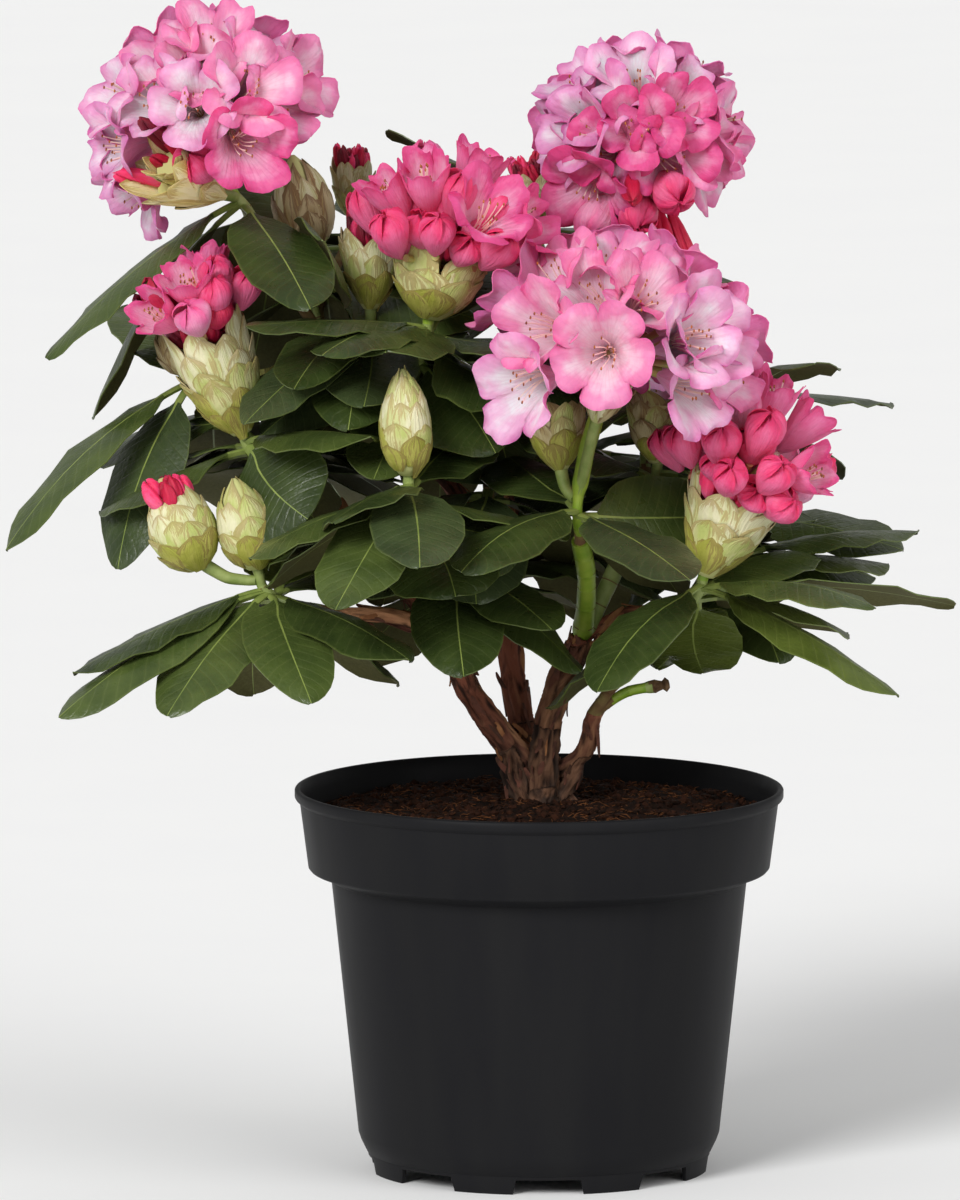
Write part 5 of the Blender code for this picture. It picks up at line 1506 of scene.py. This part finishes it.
def shutPlaces(shape, radius, reach, roll):
    along = shape["along"]
    start = roll.uniform(0, math.tau)
    twist = math.radians(shutFlower["twist"]) * along * roll.choice((-1, 1))
    turn = np.radians(shape["turn"]) + twist + start
    fold = ((turn * 2.5 / math.pi) % 2) - 1  # from one crease to the next
    lobe = np.abs(fold)  # 0 in a lobe's middle, 1 at its crease
    crease = shutFlower["crease"] * lobe ** 4 * ease(along, 0.05, 0.4)
    pleat = shutFlower["pleat"] * np.abs(np.sin(turn * 4 + start)) * ease(along, 0.1, 0.5)
    step = shutFlower["step"] * fold * ease(along, 0.2, 0.6)
    wide = np.hypot(shape["places"][:, 0], shape["places"][:, 1]) * radius * (1 - crease - pleat + step)
    wide = wide * (1 + roll.uniform(-shutFlower["widthSpread"], shutFlower["widthSpread"]))
    high = shape["places"][:, 2] * reach + (1 - lobe) * shutFlower["tipSpread"] * ease(along, 0.75, 1.0)
    lean = roll.uniform(-shutFlower["lean"], shutFlower["lean"]) * mm * along ** 2
    angle = np.radians(shape["turn"])
    flat = roll.uniform(*shutFlower["flat"])
    # The colour runs from a lobe's middle (0) to its crease (1), so each crease takes the deeper edge tone:
    # partly the folded margins' own colour, partly painted shade in the folds
    spot = np.stack([lobe, 0.3 + 0.6 * along, np.zeros(len(along))], 1)
    return np.stack([wide * np.cos(angle) + lean, wide * flat * np.sin(angle), high], 1), spot


stamen = {"count": 9, "radius": 0.3 * mm, "antherSize": (0.6, 0.6, 1.1), "antherScale": 0.85 * mm,
          "spread": 0.30, "reach": (0.80, 0.94), "start": 0.44, "curve": 0.10, "points": 6,
          "pistilLonger": 3 * mm}
stalkRadius = 1.25 * mm


def turnedTo(places, middle, direction):  # from a flower's own frame to where it stands
    matrix = np.array(direction.to_track_quat("Z", "Y").to_matrix())
    return places @ matrix.T + np.array(middle)


# How the flowers of each head are coloured by which way they face: the nearest direction's tone is taken
headTones = {
    "flowers_top_left": (((-0.2, -0.9, 0.4), 0), ((0.45, -0.85, -0.05), 2), ((0.35, -0.5, 0.8), 0),
                         ((-0.7, -0.6, 0.3), 0), ((-0.8, -0.4, -0.4), 3), ((0.9, -0.3, 0.2), 1),
                         ((0.3, -0.85, 0.4), 1), ((-0.4, -0.3, 0.85), 1), ((0.0, 0.9, 0.3), 1)),
    "flowers_top_right": (((-0.1, -0.4, 0.9), 0), ((0.5, -0.4, 0.75), 0), ((0.8, -0.55, 0.1), 1),
                          ((-0.3, -0.9, 0.05), 2), ((-0.75, -0.45, 0.4), 3), ((0.3, -0.9, 0.25), 2),
                          ((0.6, -0.5, -0.6), 3), ((0.0, 0.9, 0.3), 1)),
    "flowers_right": (((-0.7, -0.7, 0.0), 0), ((0.0, -0.9, 0.3), 1), ((0.1, -0.4, 0.9), 1),
                      ((0.7, -0.65, 0.2), 0), ((-0.3, -0.8, -0.4), 2), ((0.9, -0.2, 0.1), 1),
                      ((-0.4, -0.6, 0.7), 1), ((0.0, 0.9, 0.3), 1)),
    "flowers_back": (((0.5, 0.9, 0.3), 0), ((-0.5, 0.8, 0.3), 1), ((0.0, 0.3, 0.9), 3),
                     ((0.0, 0.9, -0.2), 2)),
}
# The flowers, by their number in the rule, that face another way here than in the frame
flowerShifts = {
    "flowers_right": {9: (0.66, -0.70, 0.24), 6: (-0.08, -0.95, 0.24), 3: (-0.66, -0.62, 0.42),
                      11: (-0.76, -0.64, -0.12)},
    "flowers_top_right": {8: (-0.05, -0.93, 0.34), 9: (-0.64, -0.58, -0.50)},
    "flowers_top_left": {10: (0.40, -0.90, -0.04), 2: (-0.20, -0.91, 0.34), 9: (-0.66, 0.12, -0.72),
                         7: (-0.97, -0.14, -0.18)},
}
# Where a head stays clear of open flowers: direction and degrees round it
clearings = {"flowers_top_left": (((-0.34, -0.82, -0.46), 36),),
             "flowers_top_right": (((-0.30, -0.58, -0.76), 16), ((0.1, -0.6, -0.78), 24),
                                   ((0.33, -0.84, -0.43), 17), ((-0.12, -0.92, -0.38), 14)),
             "flowers_right": (((-0.02, -0.80, -0.60), 40),)}
# Opening heads: number of folded flowers, their tones, and the open ones as direction, radius and cup
openings = {
    "flowers_middle": (24, (1, 0, 1, 2, 1), (((0.46, -0.62, 0.60), 20, 0.25), ((0.82, -0.20, 0.45), 18, 0.4),
                                             ((-0.12, -0.42, 0.88), 15, 0.9), ((0.36, 0.1, 0.92), 16, 0.8),
                                             ((-0.50, -0.30, 0.80), 14, 0.9))),
    "flowers_low_right": (22, (1, 2, 1, 2, 1), (((0.82, -0.48, 0.28), 15, 0.9),
                                                ((0.35, -0.1, 0.93), 14, 1.0), ((0.70, 0.1, 0.66), 14, 0.8))),
    "flowers_left": (14, (1, 2, 0, 1), (((-0.26, -0.48, 0.83), 16, 0.85), ((-0.66, -0.52, 0.45), 14, 0.85),
                                        ((-0.05, 0.2, 0.97), 14, 0.9))),
}
# Folded flowers low in the open heads: direction, reach, radius and tone
lateFlowers = {
    "flowers_top_left": (((-0.36, -0.82, 0.44), 60, 11, 1), ((-0.84, -0.50, 0.22), 64, 6, 1),
                         ((-0.58, -0.60, 0.55), 74, 6, 3), ((-0.52, -0.66, 0.54), 60, 5.5, 0),
                         ((-0.70, -0.60, 0.40), 56, 5.5, 0)),
    "flowers_top_right": (((-0.45, -0.52, -0.73), 58, 9.5, 2), ((-0.03, -0.74, -0.67), 55, 9, 1),
                          ((0.20, -0.50, -0.84), 66, 6.5, 0), ((0.38, -0.34, -0.86), 68, 4.5, 0),
                          ((0.33, -0.84, -0.43), 56, 9.5, 1), ((-0.12, -0.92, -0.38), 56, 6, 0)),
}
lateFromTip = ("flowers_top_left",)  # here they stand on the shoot's tip, else in the head's middle


def tilted(direction, roll, degrees):
    shift = Vector([roll.uniform(-1, 1) for _ in range(3)]) * math.sin(math.radians(degrees))
    return (direction + shift).normalized()


def makeFlowers():
    openShape, foldedShape = corollaShape(corolla["columns"]), corollaShape(corolla["shutColumns"])
    closedShape = shutShape()
    deselectAll()
    bpy.ops.mesh.primitive_ico_sphere_add(subdivisions=1, radius=1)
    antherShape = shapeOf(bpy.context.object)
    roll = random.Random(corolla["seed"])
    petals, folded = {name: Copies() for name in (*heads, *openingHeads)}, Copies()
    closed, anthers = Copies(), Copies()
    filaments, stalks = [], []

    def addStalk(foot, direction, reach):
        end = foot + direction * reach * corolla["stalkShare"]
        bow = Vector([roll.uniform(-1, 1) for _ in range(3)]) * 1.6 * mm
        places = finePath([foot, (foot + end) / 2 + bow, end], 4 * mm, 2)
        stalks.append((places, np.linspace(stalkRadius, stalkRadius * 1.5, len(places))))

    def addOpen(head, middle, direction, reach, radius, tone, cup=0.0):
        places = corollaPlaces(openShape, radius, reach, roll, cup)
        places = places @ np.array(Matrix.Rotation(roll.uniform(0, math.tau), 3, "Z")).T
        petals[head].add(openShape, turnedTo(places, middle, direction), slotShift=tone,
                         spot=spotValues(openShape, roll))
        lower = roll.uniform(0, math.tau)
        droop = np.array([math.cos(lower), math.sin(lower), 0]) * radius * stamen["curve"]
        for number in range(stamen["count"] + 1):
            turn = lower + number * math.tau / stamen["count"] + roll.uniform(-0.25, 0.25)
            out = radius * stamen["spread"] * roll.uniform(0.4, 1.0) * (1 - 0.5 * cup)
            longer = stamen["pistilLonger"] if number == stamen["count"] else 0
            top = reach * roll.uniform(*stamen["reach"]) + longer
            share = np.linspace(0, 1, stamen["points"])[:, None]
            spread = 0.06 * radius + out * share ** 1.6
            rise = reach * stamen["start"] + (top - reach * stamen["start"]) * share
            line = np.hstack([math.cos(turn) * spread, math.sin(turn) * spread, rise])
            line = turnedTo(line + droop * np.sin(share * math.pi), middle, direction)
            filaments.append((line, [stamen["radius"]] * stamen["points"]))
            size = np.array(stamen["antherSize"]) * stamen["antherScale"]
            anthers.add(antherShape, antherShape["places"] * size + line[-1])

    def addShut(foot, direction, reach, radius, tone, stalkFoot=None):  # thick wrapped, thin pleated
        if radius > corolla["pleatedBelow"]:
            places = corollaPlaces(foldedShape, radius * 1.1, reach, roll, 1.0, roll.uniform(0.88, 1.0))
            folded.add(foldedShape, turnedTo(places, foot, direction), slotShift=tone,
                       spot=spotValues(foldedShape, roll))
        else:
            places, spot = shutPlaces(closedShape, radius, reach, roll)
            closed.add(closedShape, turnedTo(places, foot, direction), slotShift=tone, spot=spot)
        start, end = foot if stalkFoot is None else stalkFoot, foot + direction * reach * 0.5
        addStalk(start, (end - start).normalized(), (end - start).length * 2)

    for name, spec in heads.items():
        middle, way, found = standingFlowers(name, spec, 1)
        shifts = flowerShifts.get(name, {})
        placed = [(Vector(shifts.get(number, direction)).normalized(), reach)
                  for number, direction, reach in found]
        gaps = [(Vector(direction), math.radians(degrees)) for direction, degrees in clearings.get(name, ())]
        for direction, upright in flowerWays(way, corolla["extraTries"], spec["spread"],
                                             spec["firstTurn"] + corolla["extraTurn"], 0):
            clear = all(direction.angle(other) > degrees for other, degrees in gaps)
            nearest = min(direction.angle(other) for other, _ in placed)
            if clear and nearest > math.radians(corolla["extraApart"]):
                placed.append((direction, reachAlong(spec, upright) * corolla["extraReach"]))
        for direction, reach in placed:
            tone = min(headTones[name], key=lambda item: direction.angle(Vector(item[0])))[1]
            addStalk(middle, direction, reach)
            turned = tilted(direction, roll, corolla["lean"])
            if direction.y < 0.2:  # those in front turn towards the light
                turned = (turned - Vector((0, corolla["toLight"], 0))).normalized()
            base = middle + (direction - turned) * reach * corolla["stalkShare"]
            radius = spec["size"] * corolla["size"] * roll.uniform(0.92, 1.06) * mm
            addOpen(name, base, turned, reach, radius, tone, roll.uniform(0, 0.3))
        for direction, reach, radius, tone in lateFlowers.get(name, ()):
            foot = shootTip(spec["shoot"], None)[0] if name in lateFromTip else middle
            addShut(foot, Vector(direction).normalized(), reach * mm, radius * mm, tone)
        print(name, len(found), "open flowers in the frame,", len(placed), "here")
    for name, spec in openingHeads.items():
        middle, way, _ = standingFlowers(name, spec, 0.76)
        count, tones, wide = openings[name]
        opened = [Vector(direction).normalized() for direction, _, _ in wide]
        for direction, (_, radius, cup) in zip(opened, wide):
            local = way.to_track_quat("Z", "Y").inverted() @ direction
            addOpen(name, middle, direction, reachAlong(spec, local.z), radius * mm, 2, cup)
            addStalk(middle, direction, reachAlong(spec, local.z))
        apart = math.radians(corolla["foldedApart"])
        layers = ((1.0, count), (0.72, count // 2))  # the inner ones fill the cup
        for layer, (share, inLayer) in enumerate(layers):
            ways = flowerWays(way, inLayer, spec["spread"], spec["firstTurn"] + 50 * layer, 0)
            for number, (direction, upright) in enumerate(ways):
                if layer or all(direction.angle(other) > apart for other in opened):
                    reach = reachAlong(spec, upright) * share * roll.uniform(0.84, 1.0)
                    turned = (direction + way * corolla["foldedUpright"]).normalized()
                    foot = middle + (direction - turned) * reach
                    tone = tones[(number + layer) % len(tones)]
                    addShut(foot, turned, reach, roll.uniform(7.6, 9.6) * mm, tone, middle)
    for name, head in petals.items():
        thing = head.make("petals" + name.title().replace("_", "")[7:], petalTones + petalBacks)
        thicken(thing, corolla["thickness"], [0, 1, 2, 3, 4, 4, 6, 5], petalTones + petalBacks)
        settle(smoothed(thing, 70), "petal_pink", name)
        print("petals made:", len(thing.data.polygons), "faces")
    thing = folded.make("foldedPetals", shutTones)
    thicken(thing, corolla["thickness"], [0, 1, 2, 3] * 2, shutTones)
    settle(smoothed(thing, 70), "petal_red", *openingHeads)
    settle(smoothed(closed.make("shutPetals", shutTones)), "petal_red", *openingHeads)
    settle(smoothed(tubesOf("filaments", filaments, 4, [filament])), "petal_pink", *heads)
    settle(smoothed(anthers.make("anthers", [anther])), "petal_pink", *heads)
    settle(smoothed(tubesOf("flowerStalks", stalks, 8, [pedicel])), "green_stem", *heads, *openingHeads)


makeFlowers()
print("flowers made")


# Buds and cups: overlapping scales wrapped round a body in a spiral

scale = {"outline": ((0.0, 0.62), (0.22, 0.90), (0.45, 1.0), (0.64, 0.92), (0.78, 0.72), (0.89, 0.44),
                     (0.96, 0.20), (1.0, 0.05)),
         "strips": (-1.0, -0.5, 0.0, 0.5, 1.0), "thickness": 0.32 * mm, "sunk": 0.5 * mm,
         "footSpread": 0.03, "tipSpread": 0.08, "turnSpread": 22, "coreShare": 0.92, "seed": 53}
budOutline = ((0.0, 0.35), (0.06, 0.60), (0.12, 0.78), (0.25, 0.94), (0.38, 1.0), (0.52, 0.97), (0.70, 0.80),
              (0.82, 0.57), (0.92, 0.32), (1.0, 0.08))
cupOutline = ((0.0, 0.28), (0.08, 0.48), (0.18, 0.68), (0.32, 0.86), (0.5, 0.97), (0.7, 1.02), (1.0, 1.0))
coneOutline = ((0.0, 0.26), (0.1, 0.44), (0.24, 0.64), (0.42, 0.82), (0.65, 0.97), (0.85, 1.06), (1.0, 1.12))
# Each style: outline, number of scales, foot of the highest, length low and high, half width low and high in
# degrees, how far the rim stands off in mm, highest tip, and tones from low to high
bodyStyles = {
    "bud": (budOutline, 30, 0.62, (0.32, 0.46), (46, 34), 0.7, 1.05, (0, 1, 2, 1)),
    "tan": (budOutline, 22, 0.40, (0.50, 0.66), (42, 30), 0.9, 1.04, (3, 3, 2, 3)),
    "redTip": (budOutline, 34, 0.56, (0.32, 0.44), (42, 30), 1.8, 0.98, (0, 1, 2, 2)),
    "redTop": (cupOutline, 34, 0.46, (0.28, 0.42), (40, 24), 1.2, 0.84, (0, 1, 2, 2)),
    "openTop": (cupOutline, 28, 0.50, (0.34, 0.46), (42, 32), 1.6, 0.92, (0, 3, 1, 3)),
    "cup": (cupOutline, 30, 0.56, (0.38, 0.56), (44, 30), 2.2, 1.14, (0, 1, 1, 2)),
    "coneCup": (coneOutline, 36, 0.60, (0.36, 0.52), (38, 26), 2.4, 1.16, (0, 1, 2, 2)),
    "tallCup": (cupOutline, 52, 0.70, (0.26, 0.40), (34, 22), 2.2, 1.12, (0, 1, 2, 2)),
    "loose": (coneOutline, 24, 0.44, (0.46, 0.76), (36, 26), 2.6, 1.2, (4, 4, 2, 4)),
    "dry": (cupOutline, 20, 0.45, (0.6, 0.85), (24, 16), 6.0, 1.45, (3, 2, 3, 2)),
}
bodyStyleOf = {"bud_low_left_red": "redTip", "bud_behind_middle": "redTop", "bud_back_top_left": "redTop",
               "bud_back_top": "redTop", "bud_inner_right": "openTop", "bud_right": "openTop",
               "bud_upper_left": "tan", "bud_far_left": "tan", "flowers_left": "tallCup",
               "flowers_middle": "cup", "flowers_low_right": "coneCup"}
# Scaly bowls under the late flowers: shoot, how far from its tip, direction, length, radius and style
looseCups = (("leaves_top_left", (-7, -16, 3), (-0.72, -0.58, 0.40), 42, 15, "loose"),
             ("leaves_top_left", (-20, -26, 8), (-0.50, -0.60, 0.62), 28, 9, "loose"),
             ("leaves_top_right", (0, -10, 8), (-0.30, -0.50, 0.80), 22, 7, "loose"),
             ("leaves_top_right", (8, -12, -2), (0.35, -0.50, 0.75), 18, 6, "loose"),
             ("leaves_mid_right", (8, -14, 36), (0.30, -0.45, 0.84), 28, 9, "dry"))
# Folded flowers at a bud's top: number, height of their foot, tilt, length and radius against the bud's
redTops = {"redTip": (7, 0.42, 0.16, 0.60, 0.42), "redTop": (13, 0.30, 0.17, 0.66, 0.36),
           "cup": (13, 0.50, 0.62, 0.86, 0.27), "coneCup": (13, 0.50, 0.62, 0.86, 0.27),
           "tallCup": (9, 0.62, 0.36, 0.56, 0.30)}
cupStyles = ("cup", "coneCup", "tallCup")


def scalePlaces(shape, frameOfBody, outline, length, radius, low, high, turn, halfAngle, lift, flare, roll):
    along, across = shape["along"], shape["across"]
    height = low + (high - low) * along
    body = np.interp(height, *zip(*outline)) * radius
    lean = roll.uniform(-0.10, 0.10)
    angle = turn + halfAngle * shape["places"][:, 0] + lean * along
    rise = lift * along - scale["sunk"] * (1 - along)
    bulge = 0.5 * mm * np.sin(along * math.pi) * (1 - across ** 2)
    out = body + rise + bulge + flare * ease(along, 0.55, 1.0) - 0.35 * mm * across ** 2 * along
    places = np.stack([out * np.cos(angle), out * np.sin(angle), height * length], 1)
    matrix = np.array(frameOfBody)
    return places @ matrix[:3, :3].T + matrix[:3, 3]


def addBody(copies, shape, cores, base, way, length, radius, style, roll):
    frameOfBody = Matrix.Translation(base) @ way.to_track_quat("Z", "Y").to_matrix().to_4x4()
    outline, count, lastFoot, (shortest, longest), (wideLow, wideHigh), rim, top, tones = bodyStyles[style]
    for number in range(count):
        share = number / (count - 1)
        low = -0.02 + lastFoot * share ** 0.9 + roll.uniform(-scale["footSpread"], scale["footSpread"])
        high = low + shortest + (longest - shortest) * share
        high += roll.uniform(-scale["tipSpread"], scale["tipSpread"])
        high = min(high, top * roll.uniform(0.88, 1.0))
        turn = math.radians(goldenTurn * number + roll.uniform(-scale["turnSpread"], scale["turnSpread"]))
        halfAngle = math.radians(wideLow + (wideHigh - wideLow) * share) * roll.uniform(0.86, 1.12)
        lift = (0.75 - 0.35 * share) * mm
        flare = rim * mm * (0.3 + 0.7 * share) * roll.uniform(-0.1, 1.4)
        tone = tones[min(3, int(share * 4 + roll.uniform(-0.4, 0.4)))]
        places = scalePlaces(shape, frameOfBody, outline, length, radius, low, high, turn, halfAngle, lift,
                             flare, roll)
        copies.add(shape, places, slotShift=tone, spot=spotValues(shape, roll))
    marks = np.linspace(0, 1.0 if outline is budOutline else min(0.66, top - 0.26), 12)
    wide = np.interp(marks, *zip(*outline)) * radius * scale["coreShare"]
    line = [frameOfBody @ Vector((0, 0, mark * length)) for mark in marks]
    cores.append(([tuple(place) for place in line], [max(0.4 * mm, size) for size in wide]))


def stalkLine(start, startWay, end, way, marks, radii):  # from inside the shoot's tip
    fine = finePath(grown(start - startWay * growth["touchGap"] * 3, startWay, end, way, 4), 1.5 * mm, 3)
    return fine, np.interp(np.linspace(0, 1, len(fine)), marks, radii)


def makeBuds():
    shape = bladeShape("budScale", scale["outline"], scale["strips"], -1)
    closedShape = shutShape()
    roll = random.Random(scale["seed"])
    copies, tips = Copies(), Copies()
    cores, stalks, headStalks = [], [], []

    def addTips(base, way, length, radius, style):  # folded flowers that push out between the scales
        count, footAt, tilt, tall, wide = redTops[style]
        for number in range(count):
            turn = math.radians(goldenTurn * number + 40)
            inner = number == 0 or (style in cupStyles and number % 4 == 0)
            across = way.to_track_quat("Z", "Y") @ Vector((math.cos(turn), math.sin(turn), 0))
            direction = (way + across * tilt * (0.3 if inner else 1)).normalized()
            foot = base + way * length * footAt + across * radius * 0.3
            reach = length * tall * roll.uniform(0.72, 1.0)
            places, spot = shutPlaces(closedShape, radius * wide, reach, roll)
            tone = roll.choice((0, 0, 3, 1))
            tips.add(closedShape, turnedTo(places, foot, direction), slotShift=tone, spot=spot)

    for name, (shoot, side, way, stalk, length, radius) in buds.items():
        start, startWay = shootTip(shoot, side)
        way = Vector(way).normalized()
        base = start + (Vector(side).normalized() if side else way) * stalk * mm
        style = bodyStyleOf.get(name, "bud")
        addBody(copies, shape, cores, base, way, length * mm, radius * mm, style, roll)
        stalks.append(stalkLine(start, startWay, base + way * 0.3 * length * mm, way, [0, 0.3, 1],
                                [2.4 * mm, 2.8 * mm, 3.6 * mm]))
        if style in redTops:
            addTips(base, way, length * mm, radius * mm, style)
    for name, spec in {**heads, **openingHeads}.items():
        start, startWay = shootTip(spec["shoot"], None)
        way = Vector(spec["way"]).normalized()
        base, middle = start + way * spec["stalk"] * mm, start + way * spec["focus"] * mm
        length, radius, style = spec["length"] * mm, spec["radius"] * mm, bodyStyleOf.get(name, "dry")
        addBody(copies, shape, cores, base, way, length, radius, style, roll)
        if style in redTops:
            addTips(base, way, length, radius, style)
        thick = 3.8 * mm if spec["stalk"] > 20 else 2.8 * mm
        headStalks.append(stalkLine(start, startWay, middle, way, [0, 0.08, 0.5, 1],
                                    [2.5 * mm, thick, thick, thick * 0.8]))
    for shoot, aside, way, length, radius, style in looseCups:
        start, _ = shootTip(shoot, None)
        way = Vector(way).normalized()
        base = start + Vector(aside) * mm
        addBody(copies, shape, cores, base, way, length * mm, radius * mm, style, roll)
        fine = finePath([start, base, base + way * length * 0.3 * mm], 2 * mm, 2)
        stalks.append((fine, [2.6 * mm] * len(fine)))
    thing = copies.make("budScales", scaleTones)
    thicken(thing, scale["thickness"], [0, 1, 2, 3, 4] * 2, scaleTones)
    settle(smoothed(thing), "bud_scale", *buds, *heads, *openingHeads)
    settle(smoothed(tubesOf("budCores", cores, 16, [scaleTones[1]])), "bud_scale", *buds)
    settle(smoothed(tubesOf("budStalks", stalks, 14, [dullStem])), "green_stem", *buds, *heads)
    settle(smoothed(tubesOf("headStalks", headStalks, 14, [brightStem])), "green_stem",
           *heads, *openingHeads)
    settle(smoothed(tips.make("redBudTips", shutTones)), "petal_red", *buds, *openingHeads)


makeBuds()
print("buds made")


# Stage: camera, floor and soft studio light

camera = {"place": (-0.0278, -8.0, 1.3380), "aim": (-0.0278, 0.0, 0.2699), "focalPixels": 17185.6,
          "frameHeight": 1200, "sensor": 36.0}
light = {"world": 0.45, "worldColour": "#ffffff", "key": 2.5, "keyTurn": (60, 0, -32), "keySoft": 24,
         "fill": 1.0, "fillTurn": (64, 0, 48), "fillSoft": 50, "floor": "#f6f6f5", "floorTint": "#f3f3f3",
         "floorSize": 60.0}


def makeStage():
    place, aim = Vector(camera["place"]), Vector(camera["aim"])
    turn = (aim - place).to_track_quat("-Z", "Y").to_euler()
    bpy.ops.object.camera_add(location=place, rotation=turn)
    eye = bpy.context.object
    eye.data.sensor_width = camera["sensor"]
    eye.data.lens = camera["focalPixels"] * camera["sensor"] / camera["frameHeight"]
    eye.data.clip_start, eye.data.clip_end = 0.1, 100
    bpy.context.scene.camera = eye
    for name in ("key", "fill"):
        angles = [math.radians(angle) for angle in light[name + "Turn"]]
        bpy.ops.object.light_add(type="SUN", rotation=angles)
        lamp = bpy.context.object
        lamp.name = name
        lamp.data.energy = light[name]
        lamp.data.angle = math.radians(light[name + "Soft"])
    world = bpy.data.worlds.new("studio")
    bpy.context.scene.world = world
    world.use_nodes = True
    background = world.node_tree.nodes["Background"]
    background.inputs["Color"].default_value = linear(light["worldColour"])
    background.inputs["Strength"].default_value = light["world"]
    deselectAll()
    bpy.ops.mesh.primitive_plane_add(size=light["floorSize"], location=(0, 0, 0))
    floor = bpy.context.object
    floor.name = "studioFloor"
    paper, tree, shader = newMaterial("studioPaper", light["floor"], {"Roughness": 0.95})
    paint(tree, shader, mixColour(tree, grainOf(tree, 8.0), light["floor"], light["floorTint"]))
    floor.data.materials.append(paper)
    bpy.context.scene.view_settings.view_transform = "Standard"


makeStage()
